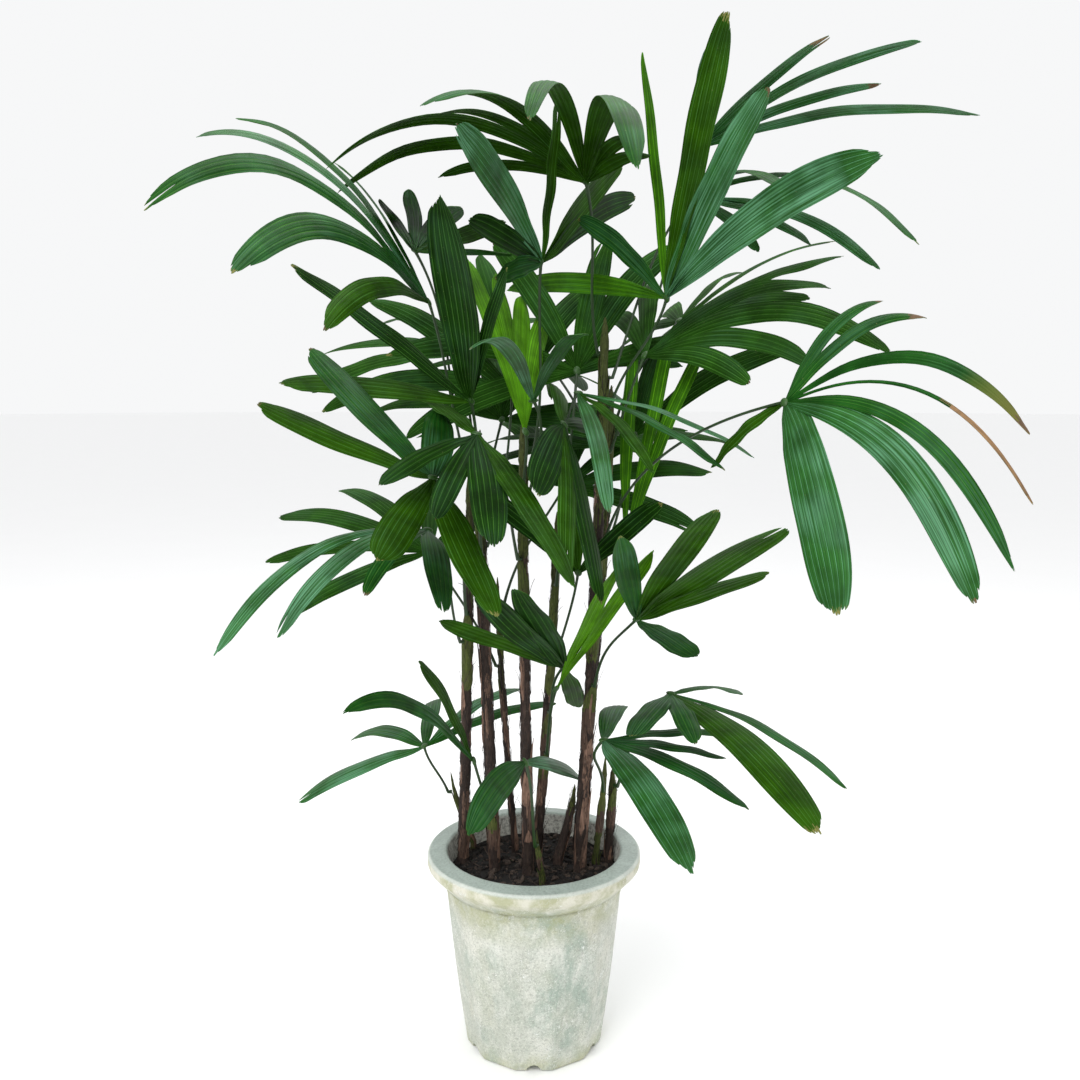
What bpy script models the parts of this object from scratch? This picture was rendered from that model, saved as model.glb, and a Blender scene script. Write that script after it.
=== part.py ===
"""A lady palm in a round pot: canes, palmate fronds, potting soil, and a rimmed pot with drain notches.

Metres, +Z up. The origin is the middle of the pot's flat underside, and the viewer stands at -Y.
"""
import math
import random
from typing import NamedTuple

import bpy
import bmesh
from mathutils import Matrix, Vector
from mathutils.bvhtree import BVHTree

# Pot
POT_HEIGHT = 0.284
RIM_RADIUS = 0.150
RIM_MOUTH_RADIUS = 0.1213
BODY_TOP_RADIUS = 0.124
BODY_TOP_HEIGHT = 0.248
FOOT_RADIUS = 0.0975
FLOOR_THICKNESS = 0.016
FLOOR_INNER_RADIUS = 0.084
WALL_TOP_INNER_RADIUS = 0.1165
WALL_LEAST = 0.004
LIP_RADIUS = 0.005
LIP_FALL = 0.002
COLLAR_RADIUS = 0.021
COLLAR_DROP = 0.004
BODY_STEPS = 3
BODY_BULGE = 0.002
FOOT_HEIGHT = 0.004
FOOT_CHAMFER = 0.003
FACETS = 12
FACET_FADE = 1.25
ROUND_SEGMENTS = 36
NOTCHES = 6
NOTCH_RADIUS = 0.0105
NOTCH_DEPTH = 0.026
NOTCH_PROUD = 0.005
DRAIN_RADIUS = 0.005
DRAIN_INSET = 0.020
CUTTER_SEGMENTS = 10

# Soil and canes
SOIL_HEIGHT = 0.254
GAP = 0.0003
CANE_POINTS = 6
CANE_ROUNDNESS = 2
CANE_BEND = 1.4
CANE_TAPER = 0.35
CANE_SEAT = 0.985
FLARE_HEIGHT = 0.012
FLARE = 1.3

# Fronds
STALK_RADIUS = 0.0023
STALK_POINTS = 6
STALK_ROUNDNESS = 0
STALK_SPUR = 0.006
STALK_LEAN = 0.35
STALK_FIRST_PULL = 0.38
STALK_LAST_PULL = 0.34
STALK_SWING = 1.6
HUB_RADIUS = 0.0078
LEAFLET_STEPS = 12
LEAFLET_STATIONS = (0, 2, 5, 10, 12)
ROOT_HALF_WIDTH = 0.0024
THICKNESS_SHARE = 0.0125
END_THICKNESS = 0.75
PLEAT = 0.16
WIDE_FROM = 0.42
TIP_FROM = 0.80
TIP_SHARE = 0.42
DROOP_LENGTH = 0.30
RIB_WIDTH = 0.0072
SMOOTH_ANGLE = 35.0

# Colours
GLAZE = (0.52, 0.56, 0.47)
EARTH = (0.05, 0.035, 0.025)
BARK = (0.17, 0.11, 0.07)
LEAF_GREEN = (0.048, 0.112, 0.028)
NEW_GREEN = (0.16, 0.26, 0.05)
NEW_FRONDS = ("Frond_Young", "Spear_Middle", "Spear_Right")

# Room between the limbs
CLEARANCE = 0.0006
LEAST_TURN = 7.0
CANE_CHECKS = 10
STALK_ROOM = 1.2
BOWS = tuple(
    (turn, bend) for turn in (0.0, 0.5, -0.5, 1.0, -1.0) for bend in (0.0, 0.02, -0.02, 0.04, -0.04)
)
NUDGES = tuple(
    (turn * side, droop)
    for turn in (0, 3, 6, 9, 13, 17)
    for droop in (0.0, 0.15, -0.15, 0.35, -0.35)
    for side in ((1,) if turn == 0 else (1, -1))
)

# Fronds of the far side
BACK_FRONDS = 7
BACK_CANES = ("Cane_Right_Back", "Cane_Left_Back", "Cane_Thin")
BACK_FROM = 28.0
BACK_SPAN = 124.0
BACK_STRIDE = 4
BACK_LEAFLETS = 6
BACK_HALF_FAN = 78.0
BACK_LENGTH = 0.29
BACK_SHORTENING = 0.0007
BACK_SHEATH_DROP = 0.05
BACK_SHEATH_STEP = 0.08
BACK_REACH = (0.10, 0.07)
BACK_LIFT = (0.10, 0.08)
SEED = 11


class Cane(NamedTuple):
    """One stem: where it stands in the pot, where its tip is, and its radius."""

    name: str
    foot: tuple
    tip: tuple
    radius: float


class Frond(NamedTuple):
    """One leaf: the cane and height its stalk leaves from, its hub, and the fan of leaflets there.

    The blade's middle line has a heading from +X towards +Y, a rise above level and a roll about
    itself, in degrees. Each leaflet has a turn from that line in degrees, a length in metres and
    a number of ribs, which sets its width.
    """

    name: str
    cane: str
    sheath: float
    hub: tuple
    heading: float
    rise: float
    roll: float
    droop: float
    leaflets: tuple


CANES = (
    Cane("Cane_Left", (-0.102, 0.016), (-0.086, 0.000, 0.82), 0.0076),
    Cane("Cane_Left_Inner", (-0.055, -0.013), (-0.073, 0.020, 0.87), 0.0074),
    Cane("Cane_Left_Back", (-0.062, 0.062), (-0.082, 0.095, 0.86), 0.0070),
    Cane("Cane_Thin", (-0.028, 0.040), (-0.052, 0.058, 0.66), 0.0048),
    Cane("Cane_Middle", (-0.008, -0.028), (-0.015, -0.020, 0.88), 0.0078),
    Cane("Cane_Middle_Right", (0.004, 0.012), (0.032, 0.004, 0.76), 0.0064),
    Cane("Cane_Short", (0.034, 0.000), (0.058, 0.012, 0.37), 0.0066),
    Cane("Cane_Right", (0.065, -0.013), (0.096, 0.020, 1.02), 0.0086),
    Cane("Cane_Right_Back", (0.064, 0.050), (0.110, 0.092, 0.93), 0.0078),
    Cane("Cane_Olive", (0.088, 0.006), (0.100, -0.006, 0.42), 0.0050),
    Cane("Cane_Right_Low", (0.107, 0.020), (0.112, 0.012, 0.40), 0.0062),
    Cane("Shoot_Left", (-0.090, 0.058), (-0.122, 0.062, 0.37), 0.0040),
    Cane("Shoot_Middle", (0.012, -0.062), (0.004, -0.078, 0.34), 0.0036),
)

FRONDS = (
    Frond("Frond_Young", "Cane_Middle_Right", 0.42, (0.03, -0.06, 0.53), -47, 56, 0, 0.2,
          ((-5, 0.25, 3), (7, 0.23, 3))),
    Frond("Spear_Middle", "Cane_Middle", 0.80, (-0.01, -0.05, 0.87), 136, 58, 0, 0.2,
          ((9, 0.29, 3), (18, 0.28, 3), (27, 0.26, 3), (36, 0.25, 3), (45, 0.23, 3))),
    Frond("Spear_Right", "Cane_Right", 0.62, (0.12, -0.04, 0.71), 65, 69, 0, 0.4,
          ((2, 0.34, 2), (10, 0.33, 2), (-6, 0.31, 2))),
    Frond("Frond_Right_Hanging", "Cane_Right", 0.72, (0.29, -0.20, 0.91), -74, -32, -61, 1.6,
          ((9, 0.27, 8), (-31, 0.35, 5), (-43, 0.36, 4), (-57, 0.34, 2), (-71, 0.31, 3),
           (-99, 0.19, 3), (-114, 0.17, 4), (114, 0.13, 3))),
    Frond("Frond_Crown_Right", "Cane_Right", 0.90, (0.17, -0.05, 1.04), -147, 80, 0, 0.3,
          ((-26, 0.34, 6), (-3, 0.29, 3), (-41, 0.30, 6), (-64, 0.38, 6), (76, 0.37, 4), (54, 0.20, 4))),
    Frond("Frond_Crown_Top", "Cane_Right", 0.97, (0.07, 0.05, 1.20), -130, 37, 0, 1.1,
          ((2, 0.32, 5), (-23, 0.39, 4), (-39, 0.44, 5), (27, 0.38, 4), (40, 0.36, 4),
           (53, 0.21, 3), (-66, 0.16, 3), (-52, 0.18, 3), (14, 0.24, 3))),
    Frond("Frond_Left_High", "Cane_Left_Inner", 0.80, (-0.14, 0.02, 1.04), 171, 64, 0, 0.8,
          ((-44, 0.50, 4), (-30, 0.39, 5), (-16, 0.34, 4), (-60, 0.43, 5), (-78, 0.34, 5), (0, 0.24, 4))),
    Frond("Frond_Left_Broad", "Cane_Left_Inner", 0.70, (-0.08, -0.06, 0.91), -127, 53, 0, 0.2,
          ((35, 0.28, 5), (79, 0.33, 5), (-21, 0.31, 8), (-38, 0.25, 5))),
    Frond("Frond_Left_Front", "Cane_Left", 0.62, (-0.12, -0.16, 0.82), -169, 12, 27, 0.0,
          ((24, 0.24, 6), (58, 0.33, 6), (-73, 0.20, 6), (-105, 0.26, 6), (93, 0.18, 6))),
    Frond("Frond_Far_Right_High", "Cane_Right_Back", 0.86, (0.23, 0.12, 1.26), -84, 27, 0, 0.4,
          ((-46, 0.26, 4), (-34, 0.34, 4), (-20, 0.27, 4), (-60, 0.37, 5), (10, 0.22, 4))),
    Frond("Frond_Far_Right", "Cane_Right", 0.94, (0.21, 0.04, 1.18), -51, 9, 4, 0.9,
          ((3, 0.39, 5), (-62, 0.30, 5), (-75, 0.21, 4), (-100, 0.19, 4), (22, 0.30, 4))),
    Frond("Frond_Right_Dark", "Cane_Right", 0.84, (0.15, 0.03, 0.97), 34, 57, 0, 1.0,
          ((41, 0.27, 5), (57, 0.36, 5), (70, 0.27, 4), (86, 0.20, 4), (-51, 0.24, 4), (-34, 0.27, 5))),
    Frond("Frond_Right_Light", "Cane_Right", 0.52, (0.13, -0.13, 0.64), -43, 30, 24, 0.2,
          ((29, 0.30, 5), (-8, 0.19, 5), (12, 0.28, 7), (-103, 0.15, 5), (48, 0.24, 4))),
    Frond("Frond_Low_Right", "Cane_Right_Low", 0.37, (0.18, -0.08, 0.53), -44, 3, 5, 0.5,
          ((27, 0.36, 7), (67, 0.18, 5), (-100, 0.24, 4), (44, 0.19, 4), (12, 0.30, 3))),
    Frond("Frond_Low_Front", "Cane_Olive", 0.37, (0.09, -0.12, 0.48), 20, 8, 0, 0.6,
          ((93, 0.28, 6), (42, 0.16, 4), (66, 0.23, 4), (-74, 0.27, 5), (12, 0.19, 4))),
    Frond("Frond_Centre_Dark", "Cane_Middle", 0.70, (-0.07, -0.10, 0.87), -176, 10, 17, 0.4,
          ((-96, 0.26, 6), (-112, 0.32, 5), (-80, 0.23, 4), (80, 0.20, 5), (-58, 0.20, 4))),
    Frond("Frond_Centre_Front", "Cane_Middle_Right", 0.66, (0.04, -0.06, 0.88), -165, 43, 25, 0.7,
          ((-79, 0.21, 6), (101, 0.32, 5), (-105, 0.30, 5), (-93, 0.29, 4), (112, 0.20, 4))),
    Frond("Frond_Centre_Curled", "Cane_Middle", 0.77, (0.00, -0.05, 0.91), -171, -5, -28, 0.6,
          ((-75, 0.35, 4), (100, 0.24, 5), (77, 0.17, 5), (-96, 0.27, 4))),
    Frond("Frond_Centre_Thin", "Cane_Middle_Right", 0.70, (0.06, 0.01, 0.92), 17, 3, -13, 0.6,
          ((46, 0.26, 3), (-1, 0.30, 3), (102, 0.31, 4), (60, 0.26, 3), (86, 0.24, 3))),
    Frond("Frond_Centre_High", "Cane_Middle", 0.82, (0.01, 0.00, 1.09), -25, 82, 0, 0.3,
          ((60, 0.29, 6), (-48, 0.29, 6), (-60, 0.32, 5), (101, 0.13, 4), (78, 0.21, 4), (5, 0.20, 4))),
    Frond("Frond_Centre_Low", "Cane_Middle_Right", 0.48, (0.04, -0.06, 0.56), -21, 20, 27, 0.0,
          ((80, 0.32, 5), (95, 0.27, 4), (60, 0.30, 5), (-105, 0.21, 4))),
    Frond("Frond_Left_Low", "Cane_Left", 0.58, (-0.14, -0.03, 0.74), -175, 15, 0, 0.9,
          ((-59, 0.34, 4), (-50, 0.39, 3), (-95, 0.25, 5), (-72, 0.24, 3))),
    Frond("Frond_Inner_Right", "Cane_Middle_Right", 0.73, (0.06, 0.07, 0.95), 90, 70, 0, 0.7,
          ((-60, 0.28, 5), (-25, 0.24, 5), (10, 0.22, 5), (45, 0.26, 5), (85, 0.26, 4), (-100, 0.26, 5))),
    Frond("Frond_Inner_Left", "Cane_Left_Back", 0.70, (-0.03, 0.08, 0.92), 100, 65, 0, 0.7,
          ((-75, 0.28, 5), (-40, 0.26, 5), (-5, 0.25, 5), (30, 0.27, 5), (70, 0.28, 4))),
    Frond("Frond_Inner_Far", "Cane_Right_Back", 0.72, (0.14, 0.06, 0.86), 60, 60, 0, 0.7,
          ((-80, 0.27, 5), (-35, 0.27, 5), (0, 0.26, 5), (40, 0.26, 5))),
    Frond("Frond_Inner_Low", "Cane_Middle_Right", 0.57, (0.06, -0.02, 0.68), -100, 60, 0, 0.3,
          ((-40, 0.17, 4), (0, 0.18, 4), (45, 0.20, 4))),
    Frond("Frond_Left_High_Back", "Cane_Left_Back", 0.79, (-0.17, 0.13, 1.12), -144, 23, 0, 0.2,
          ((-44, 0.18, 3), (-57, 0.27, 3), (-70, 0.29, 4), (-84, 0.27, 4), (-98, 0.21, 3))),
    Frond("Frond_Shoot_Left", "Shoot_Left", 0.34, (-0.16, 0.06, 0.41), 75, 17, 14, 0.7,
          ((-100, 0.22, 5), (-52, 0.26, 4), (-17, 0.25, 4), (20, 0.24, 4), (60, 0.22, 4))),
    Frond("Frond_Low_Left", "Cane_Left_Inner", 0.34, (-0.08, -0.06, 0.43), 167, 78, 0, 0.7,
          ((-24, 0.19, 4), (59, 0.25, 4), (-44, 0.34, 3))),
    Frond("Frond_Shoot_Middle", "Shoot_Middle", 0.32, (-0.01, -0.12, 0.45), 139, 51, -27, 0.5,
          ((-99, 0.24, 5), (101, 0.27, 4), (58, 0.26, 3))),
)


def clear_scene():
    """Remove what the scene already holds."""
    for thing in list(bpy.data.objects):
        bpy.data.objects.remove(thing, do_unlink=True)


def material(name, colour, roughness):
    """A Principled material of one colour and roughness, with no metal in it."""
    made = bpy.data.materials.new(name)
    made.use_nodes = True
    shader = made.node_tree.nodes["Principled BSDF"]
    shader.inputs["Base Color"].default_value = (*colour, 1.0)
    shader.inputs["Roughness"].default_value = roughness
    shader.inputs["Metallic"].default_value = 0.0
    made.diffuse_color = (*colour, 1.0)
    return made


def new_object(name, mesh, collection):
    """An object for a mesh or curve, linked to a collection."""
    made = bpy.data.objects.new(name, mesh)
    collection.objects.link(made)
    return made


def evaluated_mesh(thing):
    """A new mesh of an object as its modifiers leave it."""
    graph = bpy.context.evaluated_depsgraph_get()
    return bpy.data.meshes.new_from_object(thing.evaluated_get(graph))


def finish(thing, look):
    """Give an object its material and shade it smooth, with its sharp edges kept."""
    thing.data.materials.clear()
    thing.data.materials.append(look)
    thing.data.shade_smooth()
    thing.data.set_sharp_from_angle(angle=math.radians(SMOOTH_ANGLE))


def turned(name, profile, collection):
    """A solid of revolution about Z from (radius, height) points that run down its outer side."""
    mesh = bpy.data.meshes.new(name)
    edges = [(i, i + 1) for i in range(len(profile) - 1)]
    mesh.from_pydata([(radius, 0.0, height) for radius, height in profile], edges, [])
    made = new_object(name, mesh, collection)
    screw = made.modifiers.new("Turn", "SCREW")
    screw.angle = math.tau
    screw.steps = ROUND_SEGMENTS
    screw.render_steps = ROUND_SEGMENTS
    screw.use_merge_vertices = True
    screw.merge_threshold = 0.00001
    made.data = evaluated_mesh(made)
    made.modifiers.clear()
    bpy.data.meshes.remove(mesh)
    return made


def arc(centre, radius, start, end, steps):
    """Points of an arc in the (radius, height) plane, from one angle to another in degrees."""
    points = []
    for i in range(steps + 1):
        angle = math.radians(start + (end - start) * i / steps)
        points.append((centre[0] + radius * math.cos(angle), centre[1] + radius * math.sin(angle)))
    return points


def inner_radius(height):
    """Radius of the pot's inside at a height, from the floor to the top of the body."""
    share = (height - FLOOR_THICKNESS) / (BODY_TOP_HEIGHT - FLOOR_THICKNESS)
    return FLOOR_INNER_RADIUS + (WALL_TOP_INNER_RADIUS - FLOOR_INNER_RADIUS) * share


def facet_share(angle, height):
    """How far the body's twelve flats pull its round wall in, full at the foot and none under the rim."""
    step = math.tau / FACETS
    offset = (angle + math.pi / 2) % step
    offset = min(offset, step - offset)
    flat = math.cos(step / 2) / math.cos(offset)
    fade = max(0.0, min(1.0, FACET_FADE * (1.0 - height / BODY_TOP_HEIGHT)))
    return 1.0 + (flat - 1.0) * fade


def pot_profile():
    """Points of the pot's wall from the inner floor over the rim and down to the underside."""
    profile = [(0.0, FLOOR_THICKNESS), (FLOOR_INNER_RADIUS, FLOOR_THICKNESS)]
    profile.append((inner_radius(BODY_TOP_HEIGHT), BODY_TOP_HEIGHT))
    inner_lip = (RIM_MOUTH_RADIUS + LIP_RADIUS, POT_HEIGHT - LIP_RADIUS)
    profile += arc(inner_lip, LIP_RADIUS, 180, 90, 2)
    outer_lip = (RIM_RADIUS - LIP_RADIUS, POT_HEIGHT - LIP_FALL - LIP_RADIUS)
    profile += arc(outer_lip, LIP_RADIUS, 90, -60, 4)
    profile += arc((BODY_TOP_RADIUS + COLLAR_RADIUS, BODY_TOP_HEIGHT), COLLAR_RADIUS, 84, 165, 2)
    top = BODY_TOP_HEIGHT - COLLAR_DROP
    profile.append((BODY_TOP_RADIUS, top))
    for i in range(1, BODY_STEPS):
        share = i / BODY_STEPS
        bulge = BODY_BULGE * math.sin(math.pi * share)
        radius = BODY_TOP_RADIUS + (FOOT_RADIUS - BODY_TOP_RADIUS) * share + bulge
        profile.append((radius, top * (1.0 - share)))
    profile += [(FOOT_RADIUS, FOOT_HEIGHT), (FOOT_RADIUS - FOOT_CHAMFER, 0.0), (0.0, 0.0)]
    return profile


def make_pot(collection, cutters):
    """The turned pot with its faint flats, six arched notches in the foot and a drain hole in each."""
    pot = turned("Pot", pot_profile(), collection)
    for vertex in pot.data.vertices:
        point = vertex.co
        radius = math.hypot(point.x, point.y)
        outside = radius > inner_radius(point.z) + WALL_LEAST or point.z < GAP
        if outside and point.z < BODY_TOP_HEIGHT:
            share = facet_share(math.atan2(point.y, point.x), point.z)
            point.x *= share
            point.y *= share
    for i in range(NOTCHES):
        angle = -math.pi / 2 + math.tau * i / NOTCHES
        middle = FOOT_RADIUS - NOTCH_DEPTH / 2 + NOTCH_PROUD
        length = NOTCH_DEPTH + 2 * NOTCH_PROUD
        cut_round(f"Notch_{i + 1}", NOTCH_RADIUS, length, middle, angle, True, cutters)
        drain = FOOT_RADIUS - DRAIN_INSET
        cut_round(f"Drain_{i + 1}", DRAIN_RADIUS, 3 * FLOOR_THICKNESS, drain, angle, False, cutters)
    cut = pot.modifiers.new("Notches", "BOOLEAN")
    cut.operation = "DIFFERENCE"
    cut.operand_type = "COLLECTION"
    cut.collection = cutters
    cut.solver = "EXACT"
    bpy.context.view_layer.update()
    pot.data = evaluated_mesh(pot)
    pot.modifiers.clear()
    finish(pot, material("Pale_Glaze", GLAZE, 0.55))
    return pot


def cut_round(name, radius, length, distance, angle, lying, cutters):
    """A round cutter at a distance from the axis: lying along the radius, or standing."""
    shape = bmesh.new()
    bmesh.ops.create_cone(
        shape, cap_ends=True, segments=CUTTER_SEGMENTS, radius1=radius, radius2=radius, depth=length,
    )
    mesh = bpy.data.meshes.new(name)
    shape.to_mesh(mesh)
    shape.free()
    cutter = new_object(name, mesh, cutters)
    cutter.location = (distance * math.cos(angle), distance * math.sin(angle), 0.0)
    cutter.rotation_euler = (0.0, math.pi / 2 if lying else 0.0, angle)
    cutter.hide_render = True
    cutter.display_type = "WIRE"


def make_soil(collection):
    """The filling, a hair clear of the pot's wall and floor."""
    bottom = FLOOR_THICKNESS + GAP
    profile = [(0.0, SOIL_HEIGHT)]
    for height in (SOIL_HEIGHT, BODY_TOP_HEIGHT, bottom):
        profile.append((inner_radius(height) - 1.2 * GAP, height))
    profile.append((0.0, bottom))
    soil = turned("Soil", profile, collection)
    finish(soil, material("Potting_Soil", EARTH, 0.95))
    return soil


def cane_joint(cane, index):
    """One of the points that a cane runs through: it leans soon after the foot, then straightens."""
    foot = Vector((*cane.foot, SOIL_HEIGHT + GAP + FLARE_HEIGHT))
    share = index / (CANE_POINTS - 1)
    flat = foot.lerp(Vector(cane.tip), 1.0 - (1.0 - share) ** CANE_BEND)
    return Vector((flat.x, flat.y, foot.z + (cane.tip[2] - foot.z) * share))


def cane_point(cane, height):
    """The cane's middle at a height, on the straight runs between its points."""
    low = SOIL_HEIGHT + GAP + FLARE_HEIGHT
    place = (CANE_POINTS - 1) * (height - low) / (cane.tip[2] - low)
    place = max(0.0, min(CANE_POINTS - 1.0, place))
    index = min(int(place), CANE_POINTS - 2)
    return cane_joint(cane, index).lerp(cane_joint(cane, index + 1), place - index)


def cane_radius(cane, height):
    """The cane's radius at a height: nearly even, with its taper towards the tip."""
    share = (height - SOIL_HEIGHT) / (cane.tip[2] - SOIL_HEIGHT)
    return cane.radius * (1.0 - CANE_TAPER * max(0.0, share) ** 2)


def tube(name, points, radii, roundness, collection):
    """A tube along a polyline, as a mesh with welded caps, rounder with a higher bevel resolution."""
    curve = bpy.data.curves.new(name, "CURVE")
    curve.dimensions = "3D"
    curve.bevel_depth = 1.0
    curve.bevel_resolution = roundness
    curve.use_fill_caps = True
    spline = curve.splines.new("POLY")
    spline.points.add(len(points) - 1)
    for slot, point, radius in zip(spline.points, points, radii):
        slot.co = (*point, 1.0)
        slot.radius = radius
    guide = new_object(name + "_Guide", curve, collection)
    mesh = evaluated_mesh(guide)
    shape = bmesh.new()
    shape.from_mesh(mesh)
    bmesh.ops.remove_doubles(shape, verts=shape.verts, dist=0.00001)
    bmesh.ops.recalc_face_normals(shape, faces=shape.faces)
    shape.to_mesh(mesh)
    shape.free()
    made = new_object(name, mesh, collection)
    made.matrix_world = guide.matrix_world
    bpy.data.objects.remove(guide, do_unlink=True)
    bpy.data.curves.remove(curve)
    return made


def make_cane(cane, collection, look):
    """A cane with a flared foot, cut flat on the soil."""
    points = [cane_joint(cane, i) for i in range(CANE_POINTS)]
    foot = Vector((points[0].x, points[0].y, SOIL_HEIGHT + GAP))
    points.insert(0, foot)
    radii = [cane_radius(cane, point.z) for point in points]
    radii[0] *= FLARE
    made = tube(cane.name, points, radii, CANE_ROUNDNESS, collection)
    finish(made, look)
    return made


def blade_frame(frond):
    """The blade's middle line, its right-hand side and its upper normal."""
    heading = math.radians(frond.heading)
    rise = math.radians(frond.rise)
    roll = math.radians(frond.roll)
    line = Vector((
        math.cos(rise) * math.cos(heading),
        math.cos(rise) * math.sin(heading),
        math.sin(rise),
    ))
    level = Vector((math.sin(heading), -math.cos(heading), 0.0))
    side = math.cos(roll) * level + math.sin(roll) * level.cross(line)
    return line, side, side.cross(line)


def stalk_path(frond, cane, bow):
    """The stalk's middle: straight out of the cane, then up in an easy bend to the hub."""
    root = cane_point(cane, frond.sheath)
    hub = Vector(frond.hub)
    out = Vector((hub.x - root.x, hub.y - root.y, 0.0))
    if out.length < 0.001:
        out = Vector((0.0, -1.0, 0.0))
    out.normalize()
    out = Matrix.Rotation(bow[0], 3, "Z") @ out
    above = cane_point(cane, frond.sheath + STALK_RADIUS)
    lean = abs((above - root).dot(out))
    start = root + out * (CANE_SEAT * cane_radius(cane, frond.sheath) + lean + GAP)
    elbow = start + out * STALK_SPUR
    reach = (hub - elbow).length
    line = blade_frame(frond)[0]
    along = (hub - elbow).normalized()
    side = along.cross(Vector((0.0, 0.0, 1.0)))
    upward = (out * STALK_LEAN + Vector((0.0, 0.0, 1.0))).normalized()
    inward = (line + along * STALK_SWING).normalized()
    first = elbow + upward * reach * STALK_FIRST_PULL + side * bow[1]
    last = hub - inward * reach * STALK_LAST_PULL + side * bow[1]
    points = [start]
    for i in range(STALK_POINTS):
        t = i / (STALK_POINTS - 1)
        s = 1.0 - t
        points.append(elbow * s ** 3 + first * 3 * s * s * t + last * 3 * s * t * t + hub * t ** 3)
    return points


def leaflet_path(hub, frame, turn, length, droop):
    """Middle points and side directions of a leaflet that sets out from the hub and bends down."""
    line, side, normal = frame
    angle = math.radians(turn)
    start = math.cos(angle) * line + math.sin(angle) * side
    edge = normal.cross(start)
    pull = droop * length / DROOP_LENGTH
    point = Vector(hub)
    points = [point.copy()]
    edges = [edge.copy()]
    for i in range(LEAFLET_STEPS):
        share = (i + 0.5) / LEAFLET_STEPS
        heading = (start + Vector((0.0, 0.0, -pull * share ** 1.5))).normalized()
        point = point + heading * (length / LEAFLET_STEPS)
        points.append(point.copy())
        edges.append((edge - heading * edge.dot(heading)).normalized())
    return points, edges


def width_share(share):
    """A leaflet's half width along its length: a narrow root, a broad middle and a blunt tip."""
    if share < WIDE_FROM:
        return math.sin(math.pi / 2 * share / WIDE_FROM)
    tip = max(0.0, (share - TIP_FROM) / (1.0 - TIP_FROM))
    return 1.0 - (1.0 - TIP_SHARE) * tip


def leaflet_mesh(points, edges, length, width, margin):
    """Vertices and faces of a pleated blade with a four-cornered section, closed at both ends."""
    vertices = []
    thick = THICKNESS_SHARE * length / 2
    for station in LEAFLET_STATIONS:
        share = station / LEAFLET_STEPS
        ahead = points[min(station + 1, LEAFLET_STEPS)] - points[max(station - 1, 0)]
        edge = edges[station]
        upward = edge.cross(ahead.normalized())
        half = max(ROOT_HALF_WIDTH, width / 2 * width_share(share)) + margin
        depth = thick * (END_THICKNESS if station in (0, LEAFLET_STEPS) else 1.0) + margin
        lift = upward * PLEAT * half
        middle = points[station]
        vertices += [middle - edge * half + lift, middle + upward * depth]
        vertices += [middle + edge * half + lift, middle - upward * depth]
    faces = []
    for row in range(len(LEAFLET_STATIONS) - 1):
        for corner in range(4):
            after = (corner + 1) % 4
            low, high = row * 4, row * 4 + 4
            faces.append((low + corner, low + after, high + after, high + corner))
    last = 4 * (len(LEAFLET_STATIONS) - 1)
    faces.append((3, 2, 1, 0))
    faces.append((last, last + 1, last + 2, last + 3))
    return vertices, faces


def tube_shape(points, radii, sides):
    """Vertices and faces of an open tube round a polyline, for finding what would touch it."""
    vertices = []
    for i, point in enumerate(points):
        ahead = (points[min(i + 1, len(points) - 1)] - points[max(i - 1, 0)]).normalized()
        side = ahead.orthogonal().normalized()
        other = ahead.cross(side)
        for corner in range(sides):
            angle = math.tau * corner / sides
            vertices.append(point + (side * math.cos(angle) + other * math.sin(angle)) * radii[i])
    faces = []
    for row in range(len(points) - 1):
        for corner in range(sides):
            after = (corner + 1) % sides
            low, high = row * sides, row * sides + sides
            faces.append((low + corner, low + after, high + after, high + corner))
    return vertices, faces


def search_tree(shapes):
    """One search tree of many (vertices, faces) shapes."""
    vertices = []
    faces = []
    for points, corners in shapes:
        first = len(vertices)
        vertices += points
        faces += [tuple(first + corner for corner in face) for face in corners]
    return BVHTree.FromPolygons(vertices, faces)


def pot_shape():
    """The space that pot and soil take, as an upright tube with a lid at the soil."""
    rings = (
        (0.0, FOOT_RADIUS),
        (BODY_TOP_HEIGHT, BODY_TOP_RADIUS),
        (BODY_TOP_HEIGHT, RIM_RADIUS),
        (POT_HEIGHT, RIM_RADIUS),
        (POT_HEIGHT, RIM_MOUTH_RADIUS),
        (SOIL_HEIGHT, WALL_TOP_INNER_RADIUS),
        (SOIL_HEIGHT, GAP),
    )
    vertices = []
    sides = ROUND_SEGMENTS
    for height, reach in rings:
        for corner in range(sides):
            angle = math.tau * corner / sides
            vertices.append(Vector((reach * math.cos(angle), reach * math.sin(angle), height)))
    faces = []
    for row in range(len(rings) - 1):
        for corner in range(sides):
            after = (corner + 1) % sides
            low, high = row * sides, row * sides + sides
            faces.append((low + corner, low + after, high + after, high + corner))
    return vertices, faces


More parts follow.
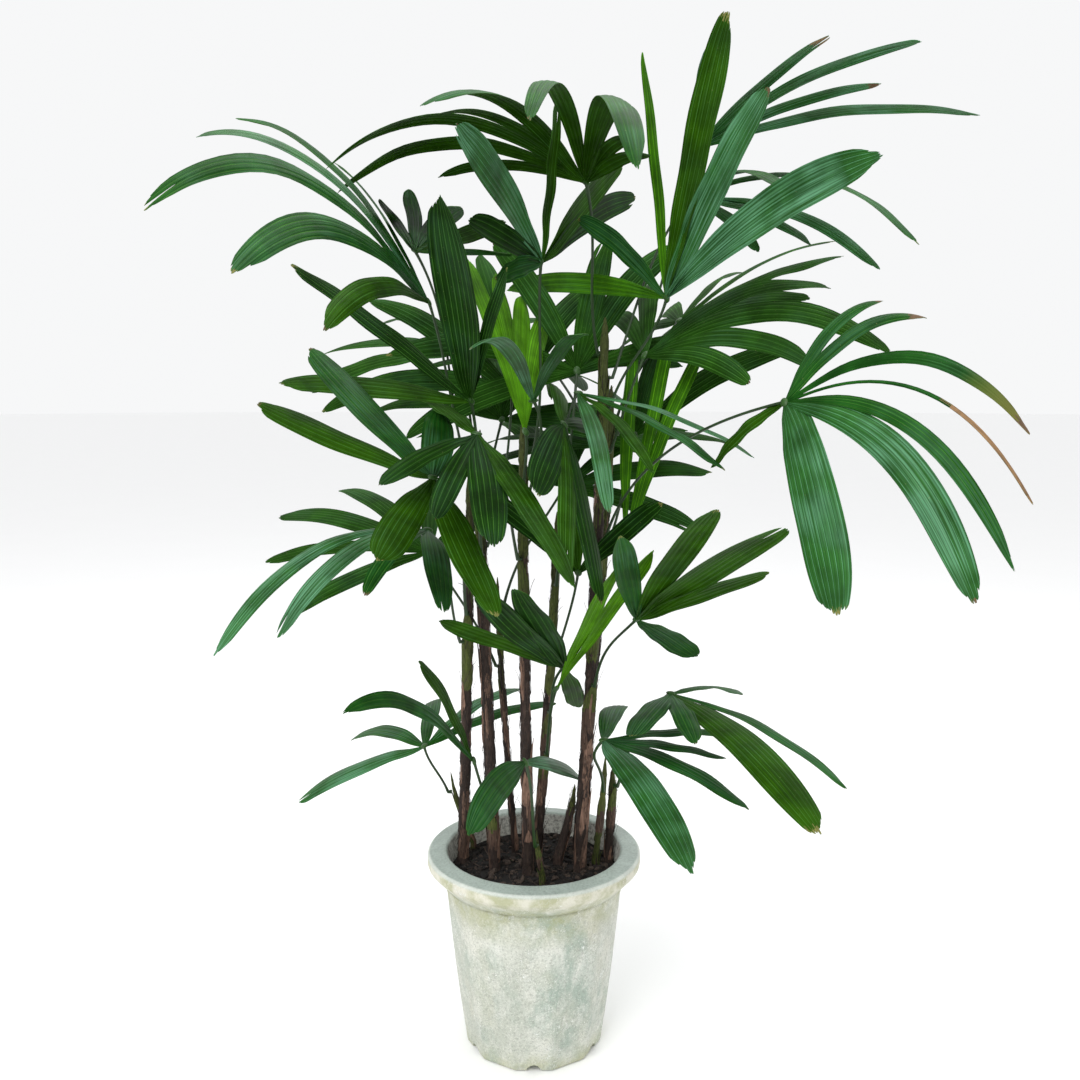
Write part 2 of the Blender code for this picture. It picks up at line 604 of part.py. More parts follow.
def back_fronds():
    """Fronds of the far side, dealt out round it by a seeded rule."""
    draw = random.Random(SEED)
    canes = {cane.name: cane for cane in CANES}
    made = []
    for i in range(BACK_FRONDS):
        cane = canes[BACK_CANES[i % len(BACK_CANES)]]
        azimuth = BACK_FROM + BACK_SPAN * ((i * BACK_STRIDE) % BACK_FRONDS + 0.5) / BACK_FRONDS
        sheath = cane.tip[2] - BACK_SHEATH_DROP - BACK_SHEATH_STEP * (i // len(BACK_CANES))
        root = cane_point(cane, sheath)
        away = BACK_REACH[0] + BACK_REACH[1] * draw.random()
        angle = math.radians(azimuth)
        hub = (
            root.x + away * math.cos(angle),
            root.y + away * math.sin(angle),
            sheath + BACK_LIFT[0] + BACK_LIFT[1] * draw.random(),
        )
        fan = []
        for leaf in range(BACK_LEAFLETS):
            place = 2 * leaf / (BACK_LEAFLETS - 1) - 1
            turn = BACK_HALF_FAN * place + draw.uniform(-4, 4)
            length = (BACK_LENGTH - BACK_SHORTENING * abs(turn)) * draw.uniform(0.92, 1.05)
            fan.append((turn, length, draw.choice((4, 5, 5, 6))))
        made.append(Frond(
            f"Frond_Back_{i + 1}", cane.name, sheath, hub, azimuth, draw.uniform(18, 48),
            draw.uniform(-15, 15), draw.uniform(0.55, 0.95), tuple(fan),
        ))
    return made


def cane_shape(cane):
    """The space that a cane takes."""
    rise = cane.tip[2] - SOIL_HEIGHT
    heights = [SOIL_HEIGHT + rise * i / CANE_CHECKS for i in range(CANE_CHECKS + 1)]
    return tube_shape(
        [cane_point(cane, height) for height in heights],
        [cane_radius(cane, height) + CLEARANCE for height in heights],
        8,
    )


def stalk_shapes(path):
    """The space a stalk takes beyond its foot, and the space of its hub."""
    wide = STALK_RADIUS * STALK_ROOM + CLEARANCE
    reach = Vector((0.0, 0.0, HUB_RADIUS + CLEARANCE))
    hub = path[-1]
    return (
        tube_shape(path[1:], [wide] * (len(path) - 1), 4),
        tube_shape([hub - reach, hub, hub + reach], [STALK_RADIUS, HUB_RADIUS + CLEARANCE, STALK_RADIUS], 6),
    )


def lay_out_stalks(fronds, canes, standing):
    """A path for each stalk, bowed to one side or the other where the straight way is taken."""
    placed = {}
    taken = list(standing)
    for frond in fronds:
        tree = search_tree(taken)
        for bow in BOWS:
            path = stalk_path(frond, canes[frond.cane], bow)
            shapes = stalk_shapes(path)
            if not search_tree(shapes).overlap(tree):
                break
        else:
            raise ValueError(f"the stalk of {frond.name} finds no clear way")
        placed[frond.name] = path
        taken += shapes
    return placed


def lay_out_leaflets(fronds, stalks, standing):
    """Turn, length and droop of each leaflet, nudged until it is clear or else left out."""
    kept = {}
    taken = list(standing)
    for frond in fronds:
        frame = blade_frame(frond)
        others = list(taken)
        for name, path in stalks.items():
            if name != frond.name:
                others += stalk_shapes(path)
        tree = search_tree(others)
        fan = []
        for turn, length, ribs in frond.leaflets:
            for step, sag in NUDGES:
                if any(abs(turn + step - other[0]) < LEAST_TURN for other in fan):
                    continue
                points, edges = leaflet_path(frond.hub, frame, turn + step, length, frond.droop + sag)
                shape = leaflet_mesh(points, edges, length, ribs * RIB_WIDTH, CLEARANCE)
                if not search_tree([shape]).overlap(tree):
                    fan.append((turn + step, length, ribs, frond.droop + sag))
                    taken.append(shape)
                    break
        kept[frond.name] = fan
    return kept


def largest_piece(mesh):
    """Drop loose scraps and the walls of sealed hollows, so that one closed body is left."""
    shape = bmesh.new()
    shape.from_mesh(mesh)
    waiting = set(shape.faces)
    pieces = []
    while waiting:
        piece = []
        frontier = [waiting.pop()]
        while frontier:
            face = frontier.pop()
            piece.append(face)
            for edge in face.edges:
                for other in edge.link_faces:
                    if other in waiting:
                        waiting.remove(other)
                        frontier.append(other)
        pieces.append(piece)
    largest = max(pieces, key=len)
    dropped = [face for piece in pieces if piece is not largest for face in piece]
    bmesh.ops.delete(shape, geom=dropped, context="FACES")
    shape.to_mesh(mesh)
    shape.free()


def make_frond(frond, path, leaflets, collection, parts, look):
    """Stalk, hub and leaflets, joined into one closed body."""
    radii = [STALK_RADIUS] * len(path)
    stalk = tube(frond.name, path, radii, STALK_ROUNDNESS, collection)
    shape = bmesh.new()
    bmesh.ops.create_icosphere(shape, subdivisions=1, radius=HUB_RADIUS)
    mesh = bpy.data.meshes.new("Hub")
    shape.to_mesh(mesh)
    shape.free()
    knob = new_object("Hub", mesh, parts)
    knob.location = frond.hub
    frame = blade_frame(frond)
    for turn, length, ribs, droop in leaflets:
        points, edges = leaflet_path(frond.hub, frame, turn, length, droop)
        vertices, faces = leaflet_mesh(points, edges, length, ribs * RIB_WIDTH, 0.0)
        mesh = bpy.data.meshes.new("Leaflet")
        mesh.from_pydata(vertices, [], faces)
        new_object("Leaflet", mesh, parts)
    join = stalk.modifiers.new("Join", "BOOLEAN")
    join.operation = "UNION"
    join.operand_type = "COLLECTION"
    join.collection = parts
    join.solver = "MANIFOLD"
    bpy.context.view_layer.update()
    joined = evaluated_mesh(stalk)
    stalk.modifiers.clear()
    largest_piece(joined)
    stalk.data = joined
    for thing in list(parts.objects):
        bpy.data.objects.remove(thing, do_unlink=True)
    finish(stalk, look)
    return stalk


def main():
    """Build pot, soil, canes and fronds into the palm's collection."""
    clear_scene()
    palm = bpy.data.collections.new("Lady_Palm")
    cutters = bpy.data.collections.new("Cutters")
    parts = bpy.data.collections.new("Leaflets")
    for made in (palm, cutters, parts):
        bpy.context.scene.collection.children.link(made)
    make_pot(palm, cutters)
    make_soil(palm)
    canes = {cane.name: cane for cane in CANES}
    bark = material("Cane_Bark", BARK, 0.8)
    for cane in CANES:
        make_cane(cane, palm, bark)
    fronds = list(FRONDS) + back_fronds()
    standing = [cane_shape(cane) for cane in CANES] + [pot_shape()]
    stalks = lay_out_stalks(fronds, canes, standing)
    fans = lay_out_leaflets(fronds, stalks, standing)
    for frond in fronds:
        green = NEW_GREEN if frond.name in NEW_FRONDS else LEAF_GREEN
        look = material(f"{frond.name}_Green", green, 0.4)
        make_frond(frond, stalks[frond.name], fans[frond.name], palm, parts, look)
    bpy.data.collections.remove(parts)


main()
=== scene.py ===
"""A lady palm in its pot: the looks of every surface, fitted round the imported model.

Metres, +Z up. The origin is the middle of the pot's underside, and the viewer stands at -Y.
"""

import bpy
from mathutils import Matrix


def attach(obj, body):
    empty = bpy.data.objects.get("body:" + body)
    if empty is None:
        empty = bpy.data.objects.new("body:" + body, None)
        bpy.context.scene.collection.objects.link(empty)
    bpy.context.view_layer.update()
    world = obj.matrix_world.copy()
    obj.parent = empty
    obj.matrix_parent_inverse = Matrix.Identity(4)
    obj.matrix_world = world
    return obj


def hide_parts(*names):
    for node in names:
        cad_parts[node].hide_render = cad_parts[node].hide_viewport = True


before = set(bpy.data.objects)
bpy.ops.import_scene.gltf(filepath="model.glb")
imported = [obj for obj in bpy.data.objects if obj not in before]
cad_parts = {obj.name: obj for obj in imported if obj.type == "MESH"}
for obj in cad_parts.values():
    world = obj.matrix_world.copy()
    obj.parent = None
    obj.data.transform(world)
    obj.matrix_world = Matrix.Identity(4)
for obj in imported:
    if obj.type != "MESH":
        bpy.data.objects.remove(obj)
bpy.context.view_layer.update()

import math
import random
from typing import NamedTuple

import bmesh
import bpy
import numpy as np
from bpy.props import FloatProperty, FloatVectorProperty, IntProperty, PointerProperty
from mathutils import Matrix, Vector, noise

bl_info = {
    "name": "Lady Palm",
    "version": (1, 0, 0),
    "blender": (4, 5, 0),
    "location": "3D View > Sidebar > Palm",
    "description": "Builds the pot, soil, canes and fronds of a potted lady palm",
    "category": "Add Mesh",
}

ROOT = "root"
UP = Vector((0.0, 0.0, 1.0))
SMOOTH_ANGLE = 35.0

# Pot
POT_HEIGHT = 0.284
RIM_RADIUS = 0.150
RIM_MOUTH_RADIUS = 0.1213
RIM_BAND = 0.0085
LIP_RADIUS = 0.005
LIP_FALL = 0.002
LOWER_LIP_RADIUS = 0.0060
COLLAR_FOOT = 0.236
COLLAR_PROUD = 0.012
COLLAR_CURVE = 0.010
COLLAR_DROP = 0.004
BODY_TOP_RADIUS = 0.124
BODY_TOP_HEIGHT = 0.248
BODY_BULGE = 0.002
WALL_TOP_INNER_RADIUS = 0.1165
WALL_LEAST = 0.004
FLOOR_THICKNESS = 0.016
FLOOR_INNER_RADIUS = 0.084
FLOOR_HUB_RADIUS = 0.02
FOOT_RADIUS = 0.0975
FOOT_HEIGHT = 0.004
FOOT_CHAMFER = 0.003
FOOT_LIFT = 0.001
FOOT_BAND = 0.012
FACETS = 12
FACET_FADE = 1.25
NOTCHES = 6
NOTCH_RADIUS = 0.0105
NOTCH_DEPTH = 0.026
NOTCH_PROUD = 0.005
DRAIN_RADIUS = 0.005
DRAIN_INSET = 0.020
CUTTER_SIDES = 40
POT_SIDES = 192
POT_REACH = 0.006
BODY_ROWS = 36

# Soil
GAP = 0.0003
SOIL_HEIGHT = 0.254
SOIL_CLEAR = 1.2 * GAP
SOIL_EDGE = 0.012
SOIL_RISE = 0.004
SOIL_RINGS = 70
SOIL_SIDES = 220
SOIL_DEPTH_ROWS = 8
CHIP_SEED = 21
CHIP_LEAST = 0.0013
CHIP_SPAN = 0.0052
CHIP_TILT = 0.45
CHIP_INSET = 0.004
CHIP_ROOM = 0.003
CHIP_WIDE = (0.45, 0.9)
CHIP_THICK = (0.22, 0.6)
CHIP_KNOCK = (0.82, 1.15)
CHIP_PROUD = (0.1, 0.9)
TWIGS = 60
TWIG_STEPS = 6
TWIG_INSET = 0.014
TWIG_LIFT = 0.0016
TWIG_WAVE = 0.0008
TWIG_LENGTH = (0.008, 0.026)
TWIG_BEND = (-0.35, 0.35)
TWIG_RADIUS = (0.0003, 0.0009)

# Canes
CANE_POINTS = 6
CANE_BEND = 1.4
CANE_TAPER = 0.35
CANE_SEAT = 0.985
CANE_SIDES = 30
CANE_ROW = 0.0028
CANE_SUNK = 0.006
CANE_CLOSE = 0.030
CANE_SEED = 40
FIRST_NODE = (0.008, 0.02)
NODE_STEP = (0.024, 0.042)
RING_HEIGHT = 0.0030
GROOVE_FALL = 0.0045
GROOVE_HEIGHT = 0.0020
GROOVE_DEPTH = 0.06
WORN_LENGTH = (0.018, 0.060)
FLARE_HEIGHT = 0.012
FLARE = 1.3
GREEN_FROM = 0.68
GREEN_SPAN = 0.12
TAN_SHARE = 0.9
TAN_WIDTH = (0.25, 0.90)
TAN_LENGTH = (0.028, 0.090)
SHOOTS = ("Cane_Olive", "Shoot_Left", "Shoot_Middle")
FLAP_ROWS = 14
FLAP_COLUMNS = 11
FLAP_THICKNESS = 0.0004
FLAP_RISE = 0.22
FLAP_SUNK = 0.003
OLD_SHEATHS = 13
SHOOT_SHEATHS = 4
SHEATH_SEED = 5
OLD_LENGTH = (0.022, 0.070)
OLD_WIDTH = (0.35, 1.1)
OLD_PEEL = (0.0, 0.0035)
OLD_PROUD = 0.0008
OLD_CHANGE = 0.12
SHEATH_LENGTH = 0.075
SHEATH_OVER = 0.004
SHEATH_WIDTH = 2.9
SHEATH_PROUD = 0.0011
SHEATH_PEEL = 0.25
LEAFY_FROM = 0.55
FULL_RISE = 0.6
FIBRE_SEED = 9
FIBRE_STEPS = 9
FIBRE_PROUD = 0.0007
FIBRE_LEAN = (0.25, 1.6)
FIBRE_LENGTH = (0.012, 0.045)
LOOSE_SHARE = 0.22
LOOSE_STAND = (0.001, 0.008)
FIBRE_WAVE = (-0.3, 0.3)
FIBRE_RADIUS = (0.00022, 0.00048)

# Stalks and leaflets
STALK_RADIUS = 0.0023
STALK_SPUR = 0.006
STALK_LEAN = 0.35
STALK_FIRST_PULL = 0.38
STALK_LAST_PULL = 0.34
STALK_SWING = 1.6
STALK_FLAT = 0.86
STALK_ROWS = 40
STALK_SIDES = 10
KNOB_RADIUS = 0.0044
KNOB_ROWS = 9
KNOB_SIDES = 12
DROOP_LENGTH = 0.30
PLEAT = 0.16
FINE_STEPS = 60
HUB_RADIUS = 0.0024
ROOT_HALF_WIDTH = 0.8 * HUB_RADIUS
BLADE_ROWS = 20
TIP_ROWS = 10
TIP_ROWS_FROM = 0.78
TIP_DENSITY = 1.8
TIP_POWER = 3.3
RIB_WIDTH = 0.0072
RIB_HEIGHT = 0.065
RIB_COLUMNS = (0.0, 0.24, 0.45, 0.55, 0.76)
RIB_RISE = (0.0, 0.22, 0.95, 0.95, 0.22)
RIB_COLUMN = 2
VEIN_PITCH = RIB_WIDTH / 2
SPLIT_SHARE = 0.30
SPLIT_DEPTH = (0.07, 0.20)
SPLIT_SPREAD = (0.10, 0.30)
TIP_SHARE = (0.22, 0.44)
WIDEST = (0.46, 0.60)
SWAY = (-0.004, 0.004)
RIPPLE_HEIGHT = (0.0004, 0.0016)
RIPPLES = (1.5, 3.5)
DISH = (0.4, 1.6)
EDGE_FALL = (0.035, 0.085)
NOTCH_FALL = (0.002, 0.016)
GREEN_SHARE = 0.50
BROWN_SHARE = 0.25
BROWN_FROM = (0.982, 0.996)
YELLOW_FROM = (0.970, 0.992)
LEAF_SEED = 77

# Fronds of the far side. A shift is a further turn and droop that keeps a leaflet clear of others
BACK_FRONDS = 7
BACK_CANES = ("Cane_Right_Back", "Cane_Left_Back", "Cane_Thin")
BACK_FROM = 28.0
BACK_SPAN = 124.0
BACK_STRIDE = 4
BACK_LEAFLETS = 6
BACK_HALF_FAN = 78.0
BACK_LENGTH = 0.29
BACK_SHORTENING = 0.0007
BACK_SPREAD = (0.92, 1.05)
BACK_RISE = (18, 48)
BACK_ROLL = (-15, 15)
BACK_DROOP = (0.55, 0.95)
BACK_SHEATH_DROP = 0.05
BACK_SHEATH_STEP = 0.08
BACK_REACH = (0.10, 0.07)
BACK_LIFT = (0.10, 0.08)
BACK_SEED = 11
BACK_SHIFTS = {
    (4, 0): (-3, 0.0), (4, 1): (6, 0.15), (5, 3): (-6, 0.0), (5, 4): (6, 0.35),
    (7, 1): (0, -0.15), (7, 2): (0, -0.35), (7, 4): (13, 0.0),
}
BACK_HIDDEN = (7, 5)
STALK_BENDS = {"Frond_Back_6": -0.02}

# Stage
FLOOR_RADIUS = 40.0
LENS = 36.0
CAMERA_PLACE = (0.0086, -1.4546, 0.9276)
CAMERA_TILT = 81.93
SKY_COLOUR = (0.99, 0.995, 1.0, 1.0)
# The pale bluish green of the painted sheen on the leaflets
SHEEN_COLOUR = (0.17, 0.42, 0.25)


class Cane(NamedTuple):
    """One stem: where it stands in the pot, where its tip is, and its radius."""

    name: str
    foot: tuple
    tip: tuple
    radius: float


class Frond(NamedTuple):
    """One leaf: the cane and height its stalk leaves from, its hub, and the fan of leaflets there.

    The blade's middle line has a heading from +X towards +Y, a rise above level and a roll about
    itself, in degrees. The tones are the letters of its leaflets' greens. Each leaflet has a turn
    from the middle line in degrees, a length in metres, a number of ribs, which sets its width,
    and a further droop where it has one. None is a leaflet that is hidden among the others.
    """

    name: str
    cane: str
    sheath: float
    hub: tuple
    heading: float
    rise: float
    roll: float
    droop: float
    tones: str
    leaflets: tuple


CANES = (
    Cane("Cane_Left", (-0.102, 0.016), (-0.086, 0.000, 0.82), 0.0076),
    Cane("Cane_Left_Inner", (-0.055, -0.013), (-0.073, 0.020, 0.87), 0.0074),
    Cane("Cane_Left_Back", (-0.062, 0.062), (-0.082, 0.095, 0.86), 0.0070),
    Cane("Cane_Thin", (-0.028, 0.040), (-0.052, 0.058, 0.66), 0.0048),
    Cane("Cane_Middle", (-0.008, -0.028), (-0.015, -0.020, 0.88), 0.0078),
    Cane("Cane_Middle_Right", (0.004, 0.012), (0.032, 0.004, 0.76), 0.0064),
    Cane("Cane_Short", (0.034, 0.000), (0.058, 0.012, 0.37), 0.0066),
    Cane("Cane_Right", (0.065, -0.013), (0.096, 0.020, 1.02), 0.0086),
    Cane("Cane_Right_Back", (0.064, 0.050), (0.110, 0.092, 0.93), 0.0078),
    Cane("Cane_Olive", (0.088, 0.006), (0.100, -0.006, 0.42), 0.0050),
    Cane("Cane_Right_Low", (0.107, 0.020), (0.112, 0.012, 0.40), 0.0062),
    Cane("Shoot_Left", (-0.090, 0.058), (-0.122, 0.062, 0.37), 0.0040),
    Cane("Shoot_Middle", (0.012, -0.062), (0.004, -0.078, 0.34), 0.0036),
)
CANE_OF = {cane.name: cane for cane in CANES}

FRONDS = (
    Frond("Frond_Young", "Cane_Middle_Right", 0.42, (0.03, -0.06, 0.53), -47, 56, 0, 0.2, "nn",
          ((-5, 0.25, 3), (7, 0.23, 3))),
    Frond("Spear_Middle", "Cane_Middle", 0.80, (-0.01, -0.05, 0.87), 136, 58, 0, 0.2, "nnnn",
          ((9, 0.29, 3), (18, 0.28, 3), (27, 0.26, 3), (36, 0.25, 3))),
    Frond("Spear_Right", "Cane_Right", 0.62, (0.12, -0.04, 0.71), 65, 69, 0, 0.4, "fff",
          ((2, 0.34, 2), (10, 0.33, 2), (-6, 0.31, 2))),
    Frond("Frond_Right_Hanging", "Cane_Right", 0.72, (0.29, -0.20, 0.91), -74, -32, -61, 1.6,
          "ggmaammo", ((9, 0.27, 8), (-31, 0.35, 5), (-43, 0.36, 4), (-57, 0.34, 2),
          (-71, 0.31, 3), (-99, 0.19, 3), (-114, 0.17, 4), (114, 0.13, 3))),
    Frond("Frond_Crown_Right", "Cane_Right", 0.90, (0.17, -0.05, 1.04), -147, 80, 0, 0.3,
          "ofggfm", ((-26, 0.34, 6), (-3, 0.29, 3), (-41, 0.30, 6), (-64, 0.38, 6), (76, 0.37, 4),
          (45, 0.20, 4, 0.35))),
    Frond("Frond_Crown_Top", "Cane_Right", 0.97, (0.07, 0.05, 1.20), -130, 37, 0, 1.1,
          "ooooooooo", ((2, 0.32, 5), (-23, 0.39, 4), (-39, 0.44, 5), (27, 0.38, 4),
          (40, 0.36, 4), (53, 0.21, 3), (-63, 0.16, 3), (-52, 0.18, 3), (14, 0.24, 3))),
    Frond("Frond_Left_High", "Cane_Left_Inner", 0.80, (-0.14, 0.02, 1.04), 171, 64, 0, 0.8,
          "mgmmom", ((-44, 0.50, 4), (-30, 0.39, 5), (-16, 0.34, 4), (-60, 0.43, 5),
          (-78, 0.34, 5), (6, 0.24, 4))),
    Frond("Frond_Left_Broad", "Cane_Left_Inner", 0.70, (-0.08, -0.06, 0.91), -127, 53, 0, 0.2,
          "dodd", ((35, 0.28, 5), (79, 0.33, 5), (-21, 0.31, 8), (-38, 0.25, 5))),
    Frond("Frond_Left_Front", "Cane_Left", 0.62, (-0.12, -0.16, 0.82), -169, 12, 27, 0.0, "omoom",
          ((24, 0.24, 6), (58, 0.33, 6), (-73, 0.20, 6), (-105, 0.26, 6), (93, 0.18, 6))),
    Frond("Frond_Far_Right_High", "Cane_Right_Back", 0.86, (0.23, 0.12, 1.26), -84, 27, 0, 0.4,
          "ggggg", ((-46, 0.26, 4), (-34, 0.34, 4), (-20, 0.27, 4), (-60, 0.37, 5),
          (10, 0.22, 4))),
    Frond("Frond_Far_Right", "Cane_Right", 0.94, (0.21, 0.04, 1.18), -51, 9, 4, 0.9, "mggmm",
          ((3, 0.39, 5), (-62, 0.30, 5), (-75, 0.21, 4), (-100, 0.19, 4), (22, 0.30, 4))),
    Frond("Frond_Right_Dark", "Cane_Right", 0.84, (0.15, 0.03, 0.97), 34, 57, 0, 1.0, "dddddd",
          ((41, 0.27, 5), (57, 0.36, 5), (70, 0.27, 4), (86, 0.20, 4), (-51, 0.24, 4),
          (-34, 0.27, 5))),
    Frond("Frond_Right_Light", "Cane_Right", 0.52, (0.13, -0.13, 0.64), -43, 30, 24, 0.2, "ooomm",
          ((29, 0.30, 5), (-8, 0.19, 5), (12, 0.28, 7), (-103, 0.15, 5), (48, 0.24, 4))),
    Frond("Frond_Low_Right", "Cane_Right_Low", 0.37, (0.18, -0.08, 0.53), -44, 3, 5, 0.5, "ommmm",
          ((27, 0.36, 7), (67, 0.18, 5), (-100, 0.24, 4), (44, 0.19, 4), (12, 0.30, 3))),
    Frond("Frond_Low_Front", "Cane_Olive", 0.37, (0.09, -0.12, 0.48), 20, 8, 0, 0.6, "gmmmm",
          ((93, 0.28, 6), (42, 0.16, 4), (66, 0.23, 4), (-61, 0.27, 5), (12, 0.19, 4))),
    Frond("Frond_Centre_Dark", "Cane_Middle", 0.70, (-0.07, -0.10, 0.87), -176, 10, 17, 0.4,
          "dodod", ((-96, 0.26, 6), (-112, 0.32, 5), (-80, 0.23, 4), (63, 0.20, 5),
          (-58, 0.20, 4))),
    Frond("Frond_Centre_Front", "Cane_Middle_Right", 0.66, (0.04, -0.06, 0.88), -165, 43, 25, 0.7,
          "dodod", ((-79, 0.21, 6), (84, 0.32, 5), (-105, 0.30, 5), (-93, 0.29, 4),
          (112, 0.20, 4))),
    Frond("Frond_Centre_Curled", "Cane_Middle", 0.77, (0.00, -0.05, 0.91), -171, -5, -28, 0.6,
          "gogm", ((-75, 0.35, 4), None, None, (-96, 0.27, 4))),
    Frond("Frond_Centre_Thin", "Cane_Middle_Right", 0.70, (0.06, 0.01, 0.92), 17, 3, -13, 0.6,
          "gmgmo", ((46, 0.26, 3), None, (102, 0.31, 4), (63, 0.26, 3), (86, 0.24, 3))),
    Frond("Frond_Centre_High", "Cane_Middle", 0.82, (0.01, 0.00, 1.09), -25, 82, 0, 0.3, "godmdo",
          ((60, 0.29, 6), (-48, 0.29, 6), (-60, 0.32, 5), (101, 0.13, 4), (78, 0.21, 4),
          (5, 0.20, 4, 0.15))),
    Frond("Frond_Centre_Low", "Cane_Middle_Right", 0.48, (0.04, -0.06, 0.56), -21, 20, 27, 0.0,
          "dodo", ((80, 0.32, 5), (95, 0.27, 4), (73, 0.30, 5), (-111, 0.21, 4))),
    Frond("Frond_Left_Low", "Cane_Left", 0.58, (-0.14, -0.03, 0.74), -175, 15, 0, 0.9, "ggmm",
          ((-59, 0.34, 4), (-50, 0.39, 3), (-95, 0.25, 5, -0.15), (-72, 0.24, 3))),
    Frond("Frond_Inner_Right", "Cane_Middle_Right", 0.73, (0.06, 0.07, 0.95), 90, 70, 0, 0.7,
          "dddddd", ((-69, 0.28, 5), (-25, 0.24, 5, -0.15), (10, 0.22, 5), (28, 0.26, 5),
          (68, 0.26, 4, -0.15), (-100, 0.26, 5))),
    Frond("Frond_Inner_Left", "Cane_Left_Back", 0.70, (-0.03, 0.08, 0.92), 100, 65, 0, 0.7,
          "ddddd", ((-72, 0.28, 5, 0.35), (-40, 0.26, 5), (-5, 0.25, 5), (30, 0.27, 5),
          (64, 0.28, 4))),
    Frond("Frond_Inner_Far", "Cane_Right_Back", 0.72, (0.14, 0.06, 0.86), 60, 60, 0, 0.7, "dddd",
          (None, None, (0, 0.26, 5, 0.35), (40, 0.26, 5))),
    Frond("Frond_Inner_Low", "Cane_Middle_Right", 0.57, (0.06, -0.02, 0.68), -100, 60, 0, 0.3,
          "dod", ((-40, 0.17, 4), (0, 0.18, 4), (36, 0.20, 4, 0.15))),
    Frond("Frond_Left_High_Back", "Cane_Left_Back", 0.79, (-0.17, 0.13, 1.12), -144, 23, 0, 0.2,
          "", ((-44, 0.18, 3), (-57, 0.27, 3), (-70, 0.29, 4), (-84, 0.27, 4, -0.15),
          (-98, 0.21, 3))),
    Frond("Frond_Shoot_Left", "Shoot_Left", 0.34, (-0.16, 0.06, 0.41), 75, 17, 14, 0.7, "gmmgm",
          ((-100, 0.22, 5), (-52, 0.26, 4), (-17, 0.25, 4), (20, 0.24, 4), (47, 0.22, 4))),
    Frond("Frond_Low_Left", "Cane_Left_Inner", 0.34, (-0.08, -0.06, 0.43), 167, 78, 0, 0.7, "omm",
          ((-24, 0.19, 4), None, (-44, 0.34, 3))),
    Frond("Frond_Shoot_Middle", "Shoot_Middle", 0.32, (-0.01, -0.12, 0.45), 139, 51, -27, 0.5,
          "mg", ((-99, 0.24, 5), (92, 0.27, 4, -0.15))),
)


def listed(names):
    """Full names of fronds, from a line that leaves out the word they begin with."""
    return tuple(f"Frond_{name}" for name in names.split())


# New growth, and the fronds whose leaflets make up each piece
NEW_FRONDS = ("Frond_Young", "Spear_Middle", "Spear_Right")
LEAF_PIECES = {
    "Leaves_Left": listed("Left_High Left_Broad Left_Front Left_Low Left_High_Back"),
    "Leaves_Top": listed("Crown_Right Crown_Top Far_Right_High Far_Right"),
    "Leaves_Right": listed("Right_Hanging Right_Dark Right_Light"),
    "Leaves_Centre": listed(
        "Centre_Dark Centre_Front Centre_Curled Centre_Thin Centre_High Centre_Low"),
    "Leaves_Inner": listed("Inner_Right Inner_Left Inner_Far Inner_Low"),
    "Leaves_Low": listed("Low_Right Low_Front Shoot_Left Low_Left Shoot_Middle"),
    "Leaves_New": NEW_FRONDS,
    "Leaves_Back": listed(" ".join(f"Back_{i + 1}" for i in range(BACK_FRONDS))),
}

# Looks of the leaflets, in the order of their material slots, and the letters of the greens
LEAF_LOOKS = (
    "Leaf_Deep", "Leaf_Middle", "Leaf_Olive", "Leaf_Gloss", "Leaf_Fresh", "Leaf_New",
    "Leaf_Under", "Leaf_Rib", "Leaf_Rib_Gloss", "Leaf_Rib_New", "Tip_Yellow", "Tip_Brown",
    "Tip_Tan", "Leaf_Ageing",
)
LOOK = {name: place for place, name in enumerate(LEAF_LOOKS)}
TONE_OF = {name[5].lower(): LOOK[name] for name in LEAF_LOOKS[:6] + LEAF_LOOKS[-1:]}
# Greens for leaflets with no letter of their own, mostly deep: on the far side and inside the crown
# that darkness is partly painted shade and partly a darker green
OTHER_TONES = "ddmo"
PLAIN_GREENS = ("Leaf_Deep", "Leaf_Middle", "Leaf_Olive", "Leaf_Under")
RIB_OF = {LOOK[name]: LOOK["Leaf_Rib"] for name in PLAIN_GREENS}
RIB_OF[LOOK["Leaf_Gloss"]] = LOOK["Leaf_Rib_Gloss"]
RIB_OF[LOOK["Leaf_Fresh"]] = RIB_OF[LOOK["Leaf_New"]] = LOOK["Leaf_Rib_New"]
RIB_OF[LOOK["Leaf_Ageing"]] = LOOK["Leaf_Ageing"]

# Fronds whose lower side is as green as the upper, one whose lower side is the middle green, and
# those whose leaflets never split at the tip
TURNED = NEW_FRONDS + listed(
    "Right_Hanging Left_High Left_Broad Left_Front Left_Low Far_Right_High Far_Right Right_Light "
    "Low_Right Low_Front Shoot_Middle Shoot_Left Low_Left Centre_Front Centre_Dark Centre_Curled "
    "Centre_Thin")
GREEN_BELOW = "Frond_Crown_Top"
WHOLE_FRONDS = listed(
    "Right_Hanging Crown_Right Low_Right Low_Front Left_Broad Shoot_Middle Low_Left")

# The look of a leaflet's dried end and where it begins, by frond and leaflet
ENDS = {
    ("Frond_Right_Hanging", 0): ("Tip_Yellow", 0.975),
    ("Frond_Right_Hanging", 3): ("Tip_Tan", 0.60),
    ("Frond_Right_Hanging", 4): ("Tip_Brown", 0.93),
    ("Frond_Right_Hanging", 5): ("Tip_Brown", 0.90),
    ("Frond_Right_Hanging", 6): ("Tip_Brown", 0.95),
    ("Frond_Far_Right_High", 0): ("Tip_Brown", 0.94),
    ("Frond_Far_Right_High", 2): ("Tip_Tan", 0.90),
}

